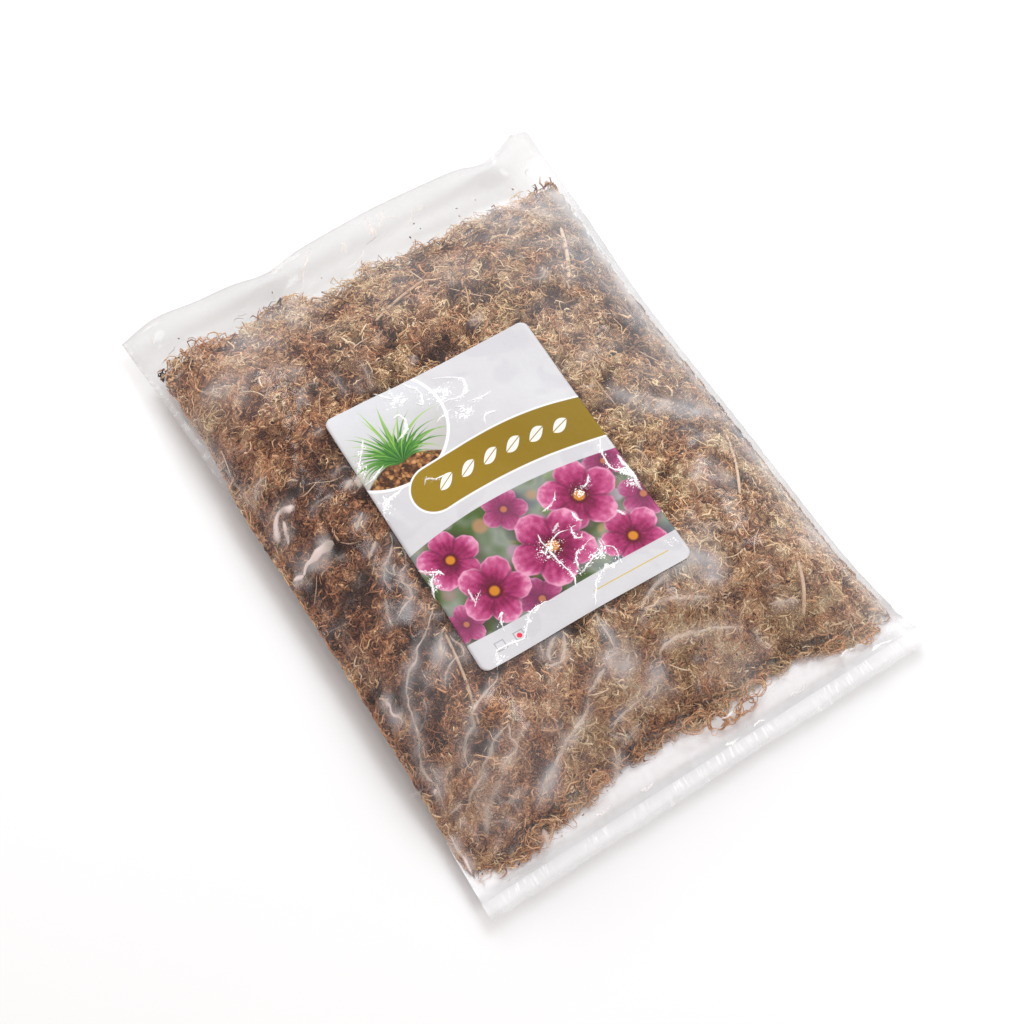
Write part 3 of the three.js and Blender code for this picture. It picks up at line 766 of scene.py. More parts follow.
# ---- materials
filmLook = {"mirror": 0.034, "grazing": 0.3, "bump": 0.2, "ripple": 0.15, "bumpDistance": 0.0006,
            "crinkle": 260.0,
            "rough": {"clearFilm": 0.11, "clearFilmBack": 0.2, "clearFilmLips": 0.15},
            "clear": (0.985, 0.984, 0.983, 1), "shaded": (0.62, 0.608, 0.6, 1), "milk": "F8F9FC"}


def mixShaders(tree, factor, first, second):
    node = tree.nodes.new("ShaderNodeMixShader")
    feed(tree, node.inputs[0], factor)
    tree.links.new(first.outputs[0], node.inputs[1])
    tree.links.new(second.outputs[0], node.inputs[2])
    return node


def plainShader(tree, colour, rough, normal=None):
    # colour, rough and normal are sockets or plain values
    shader = tree.nodes.new("ShaderNodeBsdfPrincipled")
    feed(tree, shader.inputs["Base Color"], colour)
    feed(tree, shader.inputs["Roughness"], rough)
    if normal is not None:
        tree.links.new(normal, shader.inputs["Normal"])
    return shader


def clearShader(tree, colour):
    shader = tree.nodes.new("ShaderNodeBsdfTransparent")
    feed(tree, shader.inputs["Color"], colour)
    return shader


def makeFilmMaterial(name):
    # clear film: see-through, a mirror share of m + g facing^5, and a milky share from the painted milk: haze,
    # and in places painted reflection and painted light
    material, tree, surface = newMaterial(name)
    point = objectPoint(tree)
    height = useGroup(tree, crinkleGroup, Point=point, Scale=filmLook["crinkle"])["Height"]
    normal = bumpNode(tree, height, filmLook["bump"], filmLook["bumpDistance"])
    facing = tree.nodes.new("ShaderNodeLayerWeight")
    facing.inputs["Blend"].default_value = 0.5
    tree.links.new(normal, facing.inputs["Normal"])
    grazing = calc(tree, "POWER", facing.outputs["Facing"], 5.0)
    mirrorShare = timesPlus(tree, grazing, filmLook["grazing"], filmLook["mirror"])
    shade = attribute(tree, "shade")
    clear = clearShader(tree, blendColour(tree, shade, filmLook["clear"], filmLook["shaded"]))
    gloss = tree.nodes.new("ShaderNodeBsdfGlossy")
    gloss.inputs["Color"].default_value = (1, 1, 1, 1)
    gloss.inputs["Roughness"].default_value = filmLook["rough"][name]
    ripple = bumpNode(tree, noise(tree, point, 95.0, 1.0, 0.4, 0.8), filmLook["ripple"], 0.002)
    tree.links.new(ripple, gloss.inputs["Normal"])
    veil = rangeOf(tree, noise(tree, point, 34.0, 2.0, 0.65, 0.5), 0.45, 0.8, 0.0, 0.02)
    milk = plus(tree, attribute(tree, "milk"), veil)
    mix = mixShaders(tree, milk, mixShaders(tree, mirrorShare, clear, gloss),
                     plainShader(tree, paint(filmLook["milk"]), 0.4, normal))
    tree.links.new(mix.outputs[0], surface)
    return material


def makePleatMaterial(name, hexCode, glintCode, ragged):
    # a crease: opaque along its middle, where a fine noise doesn't break it, and clear at its sides; its colour
    # turns from the crease's whitening to the glint colour, a painted highlight, where the whitening is strong
    material, tree, surface = newMaterial(name)
    broken = noise(tree, objectPoint(tree), 800.0, 3.0, 0.65)
    middle = timesPlus(tree, minus(tree, broken, 0.5), ragged, attribute(tree, "middle"))
    share = times(tree, rangeOf(tree, middle, 0.1, 1.0), attribute(tree, "white"))
    bright = rangeOf(tree, attribute(tree, "white"), 0.5, 0.85)
    body = plainShader(tree, blendColour(tree, bright, paint(hexCode), paint(glintCode)), 0.25)
    tree.links.new(mixShaders(tree, share, clearShader(tree, (1, 1, 1, 1)), body).outputs[0], surface)
    return material


mossLook = {
    "fleck": "74503F", "through": 0.25,
    "strandBump": (0.5, 0.0004), "heartBump": (1.0, 0.0012),  # strength, distance in m
    "gold": [(0.0, "5A3A34"), (0.2, "906856"), (0.42, "C99A74"), (0.62, "E5BB8C"), (0.82, "F4D6A6"),
             (1.0, "FBE8C4")],
    "rust": [(0.0, "482C25"), (0.2, "8B5540"), (0.42, "C98A62"), (0.62, "E5AC7F"), (0.82, "F3CA9E"),
             (1.0, "FADFBC")],
}


def makeMossMaterial(name, heart=False):
    # the strand's own tint and hue pick the colour, clumps shift it, and a fine noise mottles it
    material, tree, surface = newMaterial(name)
    point = objectPoint(tree)
    threads = useGroup(tree, threadGroup, Point=point)
    pick = timesPlus(tree, minus(tree, threads["Tone"], 0.5), 0.55, attribute(tree, "tint"))
    if heart:
        # painted shade: the heart's colour is picked darker, with lighter threads on it
        pick = timesPlus(tree, threads["Thread"], 0.5, minus(tree, pick, 0.15))
    clumps = minus(tree, noise(tree, point, 45.0, 2.0, 0.5), 0.5)
    hue = timesPlus(tree, clumps, 0.9, attribute(tree, "hue"))
    colour = blendColour(tree, rangeOf(tree, hue, 0.1, 0.9), ramp(tree, pick, mossLook["gold"]),
                         ramp(tree, pick, mossLook["rust"]))
    mottle = noise(tree, point, 1200.0, 2.0, 0.6)
    colour = blendColour(tree, rangeOf(tree, mottle, 0.45, 0.85, 0.0, 0.3), colour, paint(mossLook["fleck"]))
    height = threads["Thread"] if heart else noise(tree, point, 1500.0, 2.0, 0.6)
    normal = bumpNode(tree, height, *mossLook["heartBump" if heart else "strandBump"])
    shader = plainShader(tree, colour, rangeOf(tree, mottle, 0.2, 0.8, 0.7, 0.95), normal)
    if not heart:  # thin dry leaves let some light through
        through = tree.nodes.new("ShaderNodeBsdfTranslucent")
        tree.links.new(colour, through.inputs["Color"])
        shader = mixShaders(tree, mossLook["through"], shader, through)
    tree.links.new(shader.outputs[0], surface)
    return material


strawLook = {"fleck": "6E4A33",
             "streaks": [(0.0, "654F42"), (0.3, "93755E"), (0.55, "B6987E"), (0.8, "D2B99D"), (1.0, "E4D1B8")]}


def makeStrawMaterial():
    # pale straw: long streaks along the stem, darker flecks, a slight gloss
    material, tree, surface = newMaterial("dryStraw")
    point = objectPoint(tree)
    streak = minus(tree, noise(tree, point, 420.0, 3.0, 0.6), 0.5)
    streak = timesPlus(tree, streak, 0.5, attribute(tree, "tint"))
    flecks = rangeOf(tree, noise(tree, point, 900.0, 2.0, 0.5), 0.6, 0.75, 0.0, 0.5)
    colour = blendColour(tree, flecks, ramp(tree, streak, strawLook["streaks"]), paint(strawLook["fleck"]))
    shader = plainShader(tree, colour, rangeOf(tree, streak, 0.2, 0.9, 0.65, 0.45),
                         bumpNode(tree, noise(tree, point, 700.0, 3.0, 0.6), 0.5, 0.0003))
    tree.links.new(shader.outputs[0], surface)
    return material


filmMaterial = makeFilmMaterial("clearFilm")
backFilmMaterial = makeFilmMaterial("clearFilmBack")
lipMaterial = makeFilmMaterial("clearFilmLips")
# the film's pleats are partly stress whitening and partly painted highlight; the bright pleats are painted
# glints
pleatAndGlintMaterial = makePleatMaterial("filmPleatAndGlint", "D8CABE", "EBD9D5", 0.3)
glintMaterial = makePleatMaterial("paintedGlintPleat", "FFFFFF", "FFFFFF", 2.2)
mossMaterial = makeMossMaterial("dryMoss")
heartMaterial = makeMossMaterial("mossHeart", heart=True)
strawMaterial = makeStrawMaterial()
print("materials made")


# ---- the sticker's print, drawn in mm from its middle: u to the right, v up
blossomLook = {
    "petal": [(0.0, "4A0626"), (0.3, "731040"), (0.55, "94285C"), (0.8, "B04F7C"), (1.0, "CC88A6")],
    "rim": "CF98B2", "seam": "5A0A32", "eyeRing": "560820", "eye": "B8741A"}


def makeBlossomGroup():
    # the angle is folded into five petals, each an ellipse 0.56 of the radius out from the middle
    group, given, result = newGroup("blossom", {"Place": "Vector", "Centre": "Vector", "Radius": "Float",
                                                "Turn": "Float"}, {"Mask": "Float", "Colour": "Color"})
    u, v = splitVector(group, vectorCalc(group, "SUBTRACT", given["Place"], given["Centre"]))
    u, v = divide(group, u, given["Radius"]), divide(group, v, given["Radius"])
    away = reach(group, u, v)
    angle = plus(group, calc(group, "ARCTAN2", v, u), given["Turn"])
    sector = 2 * math.pi / 5
    folded = minus(group, calc(group, "FRACT", divide(group, angle, sector)), 0.5)
    folded = times(group, folded, sector)
    along = times(group, away, calc(group, "COSINE", folded))
    aside = times(group, away, calc(group, "SINE", folded))
    rim = reach(group, divide(group, minus(group, along, 0.56), 0.46), divide(group, aside, 0.43))
    waved = timesPlus(group, calc(group, "SINE", times(group, angle, 23.0)), 0.02, rim)
    petal = rangeOf(group, waved, 0.93, 1.02, 1.0, 0.0)
    veins = calc(group, "SINE", divide(group, times(group, aside, 34.0), plus(group, along, 0.35)))
    mottled = times(group, minus(group, noise(group, given["Place"], 0.12, 4.0, 0.65), 0.5), 1.1)
    tone = timesPlus(group, veins, 0.045, timesPlus(group, away, 0.95, mottled))
    colour = ramp(group, tone, blossomLook["petal"])
    seam = rangeOf(group, absolute(group, folded), 0.5, sector / 2, 0.0, 0.65)
    for share, hexCode in ((rangeOf(group, waved, 0.82, 0.98, 0.0, 0.5), blossomLook["rim"]),
                           (seam, blossomLook["seam"]),
                           (rangeOf(group, away, 0.2, 0.27, 1.0, 0.0), blossomLook["eyeRing"]),
                           (rangeOf(group, away, 0.1, 0.17, 1.0, 0.0), blossomLook["eye"])):
        colour = blendColour(group, share, colour, paint(hexCode))
    group.links.new(larger(group, petal, rangeOf(group, away, 0.2, 0.26, 1.0, 0.0)), result["Mask"])
    group.links.new(colour, result["Colour"])
    return group


def makeBladeGroup():
    # a fan of blades: the angle from upright, over 1 + droop r^2, is cut into sectors with one blade in each
    group, given, result = newGroup(
        "bladeFan", {"Place": "Vector", "Root": "Vector", "Length": "Float", "Count": "Float", "Droop": "Float",
                     "Seed": "Float"}, {"Mask": "Float", "Tone": "Float"})
    u, v = splitVector(group, vectorCalc(group, "SUBTRACT", given["Place"], given["Root"]))
    u, v = divide(group, u, given["Length"]), divide(group, v, given["Length"])
    away = reach(group, u, v)
    spreadOut = timesPlus(group, times(group, away, away), given["Droop"], 1.0)
    angle = divide(group, calc(group, "ARCTAN2", u, v), spreadOut)
    place = times(group, angle, given["Count"])
    chance = group.nodes.new("ShaderNodeTexWhiteNoise")
    chance.noise_dimensions = "1D"
    group.links.new(plus(group, calc(group, "FLOOR", place), given["Seed"]), chance.inputs["W"])
    aside = absolute(group, minus(group, calc(group, "FRACT", place), 0.5))
    width = divide(group, times(group, aside, away), given["Count"])
    tip = timesPlus(group, chance.outputs["Value"], 0.5, 0.5)
    thick = times(group, minus(group, 1.0, divide(group, away, tip)), 0.03)
    inside = rangeOf(group, minus(group, thick, width), -0.002, 0.004)
    upright = rangeOf(group, absolute(group, angle), 1.15, 1.25, 1.0, 0.0)
    group.links.new(times(group, inside, upright), result["Mask"])
    tone = timesPlus(group, chance.outputs["Value"], 0.5, times(group, away, 0.4))
    group.links.new(timesPlus(group, aside, -0.5, plus(group, tone, 0.25)), result["Tone"])
    return group


printLook = {
    # the paper's lighter and dull tones are painted light and shade of the sticker's soft folds
    "paper": "BABABD", "paperFoldLight": "C0C0C3", "paperFoldShade": "ADACB2",
    "green": [(0.0, "0C2812"), (0.35, "235822"), (0.7, "4C8230"), (1.0, "94B95E")],
    "bark": [(0.0, "3C2416"), (0.3, "7A4E2C"), (0.6, "B58653"), (1.0, "DDBB88")], "barkCells": 0.42,
    "oval": {"u": -44.0, "v": 70.0, "halfU": 42.0, "halfV": 40.0, "rim": "E2E2E5"},
    "mound": {"u": -41.0, "half": 24.0, "top": 49.0, "drop": 9.0},
    "fans": [  # root u, v, length, count, droop, seed
        (-42, 46, 46, 6.0, 0.9, 3.0), (-40, 46, 40, 8.5, 0.5, 17.0), (-44, 45, 34, 10.5, 1.3, 41.0),
        (-41, 45, 26, 12.5, 0.8, 58.0)],
    "band": {"middle": 22.0, "half": 15.0, "end": -34.0, "left": "866C12", "right": "7C640D", "rule": "DEDEDD"},
    "leaf": {"pitch": 15.0, "half": 3.9, "slant": 0.5, "colour": "D9D7D0"},
    "panel": {"top": -3.0, "foot": -73.0, "spots": 0.085, "shadow": "3A1030", "distant": "7E4568"},
    "bow": 0.0016,  # how much the band and the panel's top edge bow, in mm for each mm^2 from the middle
    "ground": [(0.25, "1F3219"), (0.42, "44592B"), (0.55, "7D8578"), (0.7, "515C64"), (0.85, "8F98A1")],
    "spotColours": [(0.0, "4C2F66"), (0.25, "6F8B3C"), (0.5, "B5AFB9"), (0.75, "8E3470"), (1.0, "B99E4C")],
    "blossoms": [  # u, v, radius, turn; the first five stand further back
        (58, -14, 13, 0.2), (-62, -62, 12, 0.5), (-8, -12, 14, 1.0), (66, -44, 15, 0.9), (-18, -70, 14, 0.3),
        (-50, -24, 19, 0.4), (46, -64, 20, 0.1), (-38, -52, 21, 0.9), (34, -26, 24, 0.5), (4, -46, 25, 0.0)],
    "farBlossoms": 5,
    "boxes": [(-52.0, 0.0), (-40.0, 1.0)],  # u, and 1 where the box has a dot
    "foot": -82.0, "boxHalf": 2.7, "boxLine": "8C8A92", "dot": "D8203F", "rule": "B9A24A", "glint": "FDFDFF",
}


def printPaper(tree, place):
    # grey paper with faint broad lighter and darker clouds: painted light and shade of the sticker's soft folds
    clouds = rangeOf(tree, noise(tree, place, 0.02, 2.0), 0.3, 0.7)
    colour = blendColour(tree, clouds, paint(printLook["paper"]), paint(printLook["paperFoldLight"]))
    foldShade = rangeOf(tree, noise(tree, place, 0.035, 2.0, 0.5, 0.6), 0.52, 0.6, 0.0, 0.35)
    return blendColour(tree, foldShade, colour, paint(printLook["paperFoldShade"]))


def printPicture(tree, place, u, v, colour):
    # at the upper left, inside an oval: a soft ground, a mound of bark and fans of green blades
    oval, mound = printLook["oval"], printLook["mound"]
    away = reach(tree, divide(tree, minus(tree, u, oval["u"]), oval["halfU"]),
                 divide(tree, minus(tree, v, oval["v"]), oval["halfV"]))
    picture = blendColour(tree, rangeOf(tree, v, 38.0, 90.0), paint("A9A7A3"), paint("C2C4C8"))
    cellColour, cellDistance = cells(tree, place, printLook["barkCells"])
    barkTone = timesPlus(tree, splitVector(tree, cellColour)[0], 0.7, times(tree, cellDistance, -0.4))
    moundU = divide(tree, minus(tree, u, mound["u"]), mound["half"])
    moundTop = timesPlus(tree, times(tree, moundU, moundU), -mound["drop"], mound["top"])
    picture = blendColour(tree, rangeOf(tree, minus(tree, moundTop, v), -0.8, 0.8), picture,
                          ramp(tree, barkTone, printLook["bark"]))
    for rootU, rootV, length, count, droop, seed in printLook["fans"]:
        blades = useGroup(tree, bladeGroup, Place=place, Root=(rootU, rootV, 0), Length=length, Count=count,
                          Droop=droop, Seed=seed)
        picture = blendColour(tree, blades["Mask"], picture, ramp(tree, blades["Tone"], printLook["green"]))
    colour = blendColour(tree, rangeOf(tree, away, 1.0, 1.02, 1.0, 0.0), colour, paint(oval["rim"]))
    return blendColour(tree, rangeOf(tree, away, 0.96, 0.975, 1.0, 0.0), colour, picture)


def printBand(tree, u, v, colour):
    # a bowed band from the right with a round end and a pale rule round it, and a row of plain leaves in it
    band, leaf = printLook["band"], printLook["leaf"]
    bend = times(tree, times(tree, u, u), printLook["bow"])
    offBand = plus(tree, minus(tree, v, band["middle"]), bend)
    away = reach(tree, larger(tree, minus(tree, band["end"], u), 0.0), offBand)
    rule = rangeOf(tree, away, band["half"] + 0.9, band["half"] + 1.4, 1.0, 0.0)
    colour = blendColour(tree, rule, colour, paint(band["rule"]))
    bandColour = blendColour(tree, rangeOf(tree, u, -50.0, 60.0), paint(band["left"]), paint(band["right"]))
    inBand = rangeOf(tree, away, band["half"] - 0.3, band["half"] + 0.3, 1.0, 0.0)
    colour = blendColour(tree, inBand, colour, bandColour)
    turned = calc(tree, "FLOORED_MODULO", minus(tree, u, band["end"]), leaf["pitch"])
    leafU = minus(tree, turned, leaf["pitch"] / 2)
    leafV = timesPlus(tree, leafU, -leaf["slant"], offBand)
    leafHalf = timesPlus(tree, times(tree, leafU, leafU), -0.11, leaf["half"])
    blade = rangeOf(tree, minus(tree, leafHalf, absolute(tree, leafV)), -0.15, 0.25)
    blade = times(tree, blade, rangeOf(tree, absolute(tree, leafV), 0.2, 0.4))
    row = times(tree, rangeOf(tree, u, -36.0, -35.0), rangeOf(tree, u, 55.0, 56.0, 1.0, 0.0))
    return blendColour(tree, times(tree, blade, row), colour, paint(leaf["colour"]))


def printFlowers(tree, place, u, v, colour):
    # a panel with a bowed top edge: blurred light spots, then the blossoms from the back to the front
    panel = printLook["panel"]
    bow = timesPlus(tree, times(tree, u, u), -printLook["bow"], panel["top"])
    inPanel = times(tree, rangeOf(tree, minus(tree, bow, v), -0.2, 0.2),
                    rangeOf(tree, v, panel["foot"] - 0.2, panel["foot"] + 0.2))
    cellColour, cellDistance = cells(tree, place, panel["spots"])
    chanceU, chanceV = splitVector(tree, cellColour)
    spot = times(tree, rangeOf(tree, cellDistance, 0.25, 0.5, 1.0, 0.0),
                 rangeOf(tree, chanceV, 0.2, 0.9, 0.15, 0.75))
    ground = ramp(tree, noise(tree, place, 0.035, 2.0, 0.5), printLook["ground"])
    ground = blendColour(tree, spot, ground, ramp(tree, chanceU, printLook["spotColours"]))
    for number, (centreU, centreV, radius, turn) in enumerate(printLook["blossoms"]):
        blossom = useGroup(tree, blossomGroup, Place=place, Centre=(centreU, centreV, 0), Radius=radius,
                           Turn=turn)
        away = vectorCalc(tree, "DISTANCE", place, (centreU + 1.5, centreV - 2.0, 0)).node.outputs["Value"]
        shadow = rangeOf(tree, away, 0.6 * radius, 1.1 * radius, 0.55, 0.0)
        ground = blendColour(tree, shadow, ground, paint(panel["shadow"]))
        bloom = blossom["Colour"]
        if number < printLook["farBlossoms"]:
            bloom = blendColour(tree, 0.4, bloom, paint(panel["distant"]))
        ground = blendColour(tree, blossom["Mask"], ground, bloom)
    return blendColour(tree, inPanel, colour, ground)


def printFoot(tree, u, v, colour):
    # two small empty boxes, one of them with a red dot, and a thin rule
    for boxU, dotted in printLook["boxes"]:
        du, dv = absolute(tree, minus(tree, u, boxU)), absolute(tree, minus(tree, v, printLook["foot"]))
        outline = absolute(tree, minus(tree, larger(tree, du, dv), printLook["boxHalf"]))
        outline = rangeOf(tree, outline, 0.2, 0.45, 0.8, 0.0)
        colour = blendColour(tree, outline, colour, paint(printLook["boxLine"]))
        dot = rangeOf(tree, reach(tree, du, dv), 1.4, 1.7, dotted, 0.0)
        colour = blendColour(tree, dot, colour, paint(printLook["dot"]))
    rule = rangeOf(tree, absolute(tree, minus(tree, v, printLook["foot"])), 0.25, 0.4, 1.0, 0.0)
    rule = times(tree, times(tree, rule, rangeOf(tree, u, 8.0, 8.4)), rangeOf(tree, u, 57.6, 58.0, 1.0, 0.0))
    return blendColour(tree, rule, colour, paint(printLook["rule"]))


def printGlints(tree, place, colour):
    # white speckles where folds of the cover catch the light, from the painted glint broken up by noise
    jag = timesPlus(tree, noise(tree, place, 0.22, 3.0, 0.6, 1.5), 1.5, -0.35)
    speck = times(tree, minus(tree, noise(tree, place, 1.1, 3.0, 0.7), 0.5), 1.6)
    glint = plus(tree, times(tree, attribute(tree, "glint"), jag), speck)
    return blendColour(tree, rangeOf(tree, glint, 0.48, 0.6), colour, paint(printLook["glint"]))


def makeLabelMaterial():
    # the printed parts laid over each other, under a slightly uneven gloss
    material, tree, surface = newMaterial("glossyPrint")
    mapUv = tree.nodes.new("ShaderNodeUVMap").outputs[0]
    place = vectorCalc(tree, "MULTIPLY_ADD", mapUv, (label["width"], label["height"], 0),
                       (-label["width"] / 2, -label["height"] / 2, 0))
    u, v = splitVector(tree, place)
    colour = printPicture(tree, place, u, v, printPaper(tree, place))
    colour = printFlowers(tree, place, u, v, printBand(tree, u, v, colour))
    colour = printGlints(tree, place, printFoot(tree, u, v, colour))
    grain = noise(tree, place, 2.2, 3.0, 0.6)
    shader = plainShader(tree, colour, rangeOf(tree, grain, 0.2, 0.8, 0.24, 0.34),
                         bumpNode(tree, noise(tree, place, 0.12, 3.0, 0.5), 0.25, 0.0012))
    tree.links.new(shader.outputs[0], surface)
    return material


blossomGroup = makeBlossomGroup()
bladeGroup = makeBladeGroup()
labelMaterial = makeLabelMaterial()
print("sticker print made")


# ---- the film: front and back sheets that meet along the welds, and two lips
filmShape = {"front": (320, 230), "back": (170, 122),  # rows and columns of points
             "vent": (133, -193, 2.2)}  # the small round hole: x, y, radius
lipShape = {"columns": 400, "rows": 8, "dashes": 230, "seed": 21}


def envelopeGrid(rows, columns):
    # x = s halfWidth, y from the mouth weld to the far edge, s and the rows evenly spaced
    y, s = np.meshgrid(np.linspace(mouthEdge, farEdge, rows), np.linspace(-1, 1, columns), indexing="ij")
    return s * halfWidth(s, y), y


def weldBand(x, y):
    # 1 on the pressed welds round the bag
    return (1 - ease(edgeDistance(x, y), -1.5, 0.5)) * (1 - 0.85 * sideFull(x, y) * ease(np.abs(x), 125, 135))


def borderLine(x, y):
    # a thin line along the cut edges of the far and the side welds, fainter where the moss fills the sides
    sides = hump(halfWidth(x, y) - np.abs(x), 0.9) * (1 - 0.8 * sideFull(x, y))
    return np.maximum(sides, hump(farEdge - y, 0.9))


def makeFront():
    # milky on the whitened parts and over the empty margin at the mouth, where the milk is painted light that
    # brightens the margin in the moss's shade; grey on the flap, rim, welds and vent
    x, y = envelopeGrid(*filmShape["front"])
    far = ease(y - mossFar(x), -16, -3)
    rightRim = ease(x - halfWidth(x, y), -9 - 4 * rightUpper(x, y), -4) * (1 - far)
    points = asPoints(x, y, frontSurface(x, y))
    piece = buildPiece("bagFront", points, [gridFaces(*x.shape)], filmMaterial)
    # painted light: white milk over the mouth margin stands in for light that passes the clear film there
    margin = ease(mossMouth(x, 0) - y - 7 * hump(x - 24, 26), 7, 14)
    clouds = 0.5 + 0.08 * patchNoise(x, y, 12, 18) + 0.06 * patchNoise(x * 2, y, 6, 19)
    marginLightMilk = margin * np.clip(clouds, 0.05, 1) * (0.5 + 0.5 * ease(y - mouthEdge, 2, 10))
    paintPoints(piece, "milk", filmMilk(x, y) * (1 - 0.88 * far) + 0.05 * weldBand(x, y) + marginLightMilk)
    ventX, ventY, ventRadius = filmShape["vent"]
    vent = hump(np.hypot(x - ventX, y - ventY) - ventRadius, 0.8)
    # the flap's grey is lighter towards the moss: painted light that offsets the shadow the moss casts there
    flap = 0.18 + 0.26 * ease(y, 182, 204) + 0.05 * patchNoise(x, y, 30, 21)
    grey = flap * far + 0.22 * borderLine(x, y) + 0.8 * vent + 0.12 * weldBand(x, y)
    paintPoints(piece, "shade", np.clip(grey + (0.62 + 0.12 * rightUpper(x, y)) * rightRim, 0, 1))
    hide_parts("bag_film")


def makeBack():
    # flat below the moss, lightly wrinkled where it lifts to the welds, milky under the margin at the mouth,
    # painted light that makes the backdrop seen between the mat's edge strands look bright
    x, y = envelopeGrid(*filmShape["back"])
    z = underOuter(x, y) + weldDrop(x, y)
    lift = ease(edgeDistance(x, y), 0, 12) * (1 - underFill(x, y)) * ease(z, 1.5, 4)
    z = z + lift * (0.5 * patchNoise(x, y, 14, 61) + 0.3 * patchNoise(x, y, 6, 62))
    faces = gridFaces(*x.shape, flip=True)
    piece = buildPiece("bagBack", asPoints(x, y, z), [faces], backFilmMaterial)
    # painted light: a white back film under the mouth margin, bright behind the strands at the mat's edge
    margin = ease(mossMouth(x, 0) + 12 - y, 0, 9) * ease(y - mouthEdge, 0, 9)
    paintPoints(piece, "milk", 0.05 * weldBand(x, y) + 0.85 * margin)
    paintPoints(piece, "shade", 0.2 * borderLine(x, y))


def makeLips():
    # z = mouth height + out (lift + ruffle), the ruffle a short wave that comes and goes along the lip
    rng = np.random.default_rng(lipShape["seed"])
    columns, rows = lipShape["columns"], lipShape["rows"]
    alongLip = np.linspace(-bag["width"] / 2, halfWidth(1, mouthEdge) + 0.5, columns)
    out, x = np.meshgrid(np.linspace(0, 1, rows), alongLip, indexing="ij")
    edge = 0.9 * lineNoise(x, 9, 71) + 0.5 * lineNoise(x, 3, 72)
    y = mouthEdge - out * (bag["lip"] - 1.0 + edge * 0.9)
    gather = 0.5 + 0.5 * lineNoise(x, 16, 73)
    mouthLevel = bag["mouthHeight"] + bag["mouthLift"]
    ruffle = gather * np.sin(x / 1.35 + 2.2 * lineNoise(x, 8, 74) + 1.2 * out)
    upper = mouthLevel + 0.15 + out * (1.0 + 0.35 * ruffle + 1.0 * lineNoise(x, 22, 75))
    lower = mouthLevel - 0.15 - out * (2.4 + 0.3 * ruffle)
    points = np.concatenate([asPoints(x, y, upper), asPoints(x, y + 1.2 * out, lower)])
    faces = [np.concatenate([gridFaces(rows, columns, 0, True), gridFaces(rows, columns, rows * columns)])]
    piece = buildPiece("bagLips", points, faces, lipMaterial)
    white = np.zeros_like(x)
    for middle in rng.uniform(-146, 146, lipShape["dashes"]):  # short slanted dashes where the lip is crimped
        slant, breadth, strength = rng.normal(-1.5, 1.5), rng.uniform(0.25, 0.6), rng.uniform(0.15, 0.75)
        start, end = rng.uniform(0.0, 0.2), rng.uniform(0.25, 0.7)
        along = ease(out, start - 0.1, start + 0.1) * (1 - ease(out, end - 0.15, end + 0.1))
        strength *= ease(lineNoise(np.array(middle), 14, 77), -0.5, 0.5)
        white = np.maximum(white, strength * along * hump(x - middle - slant * out, breadth))
    milk = 0.42 * (1 - 0.6 * ease(out, 0.4, 1)) * (1 - white) + white
    gathered = hump(out - 0.02, 0.05) * (0.5 + 0.5 * lineNoise(x, 2.2, 76))
    grey = 0.02 + 0.06 * hump(out - 1, 0.06) + 0.45 * gathered + 0.3 * ease(np.abs(x), 136, 148)
    for name, upperValues, lowerValue in (("milk", milk, 0.03), ("shade", grey, 0.02)):
        paintPoints(piece, name, np.concatenate([upperValues.reshape(-1), np.full(rows * columns, lowerValue)]))


makeFront()
makeBack()
makeLips()


# ---- creases and painted glints as raised pleats that stand a little out of the film or the sticker
pleat = {"spacing": 0.8, "across": 5, "rise": 0.34, "sink": 0.14, "wander": 0.45, "widen": 0.35}


def smoothPath(path, spacing):
    # Catmull-Rom curve through the points, then points spaced evenly along it
    ends = np.vstack([2 * path[0] - path[1], path, 2 * path[-1] - path[-2]])
    a, b, c, d = ends[:-3, None], ends[1:-2, None], ends[2:-1, None], ends[3:, None]
    t = np.linspace(0, 1, 12, endpoint=False)[None, :, None]
    dense = 0.5 * (2 * b + (c - a) * t + (2 * a - 5 * b + 4 * c - d) * t ** 2
                   + (3 * b - a - 3 * c + d) * t ** 3)
    dense = np.vstack([dense.reshape(-1, 2), path[-1:]])
    along = np.concatenate([[0], np.cumsum(np.linalg.norm(np.diff(dense, axis=0), axis=1))])
    places = np.linspace(0, along[-1], max(5, int(along[-1] / spacing)))
    return np.stack([np.interp(places, along, dense[:, k]) for k in range(2)], -1)


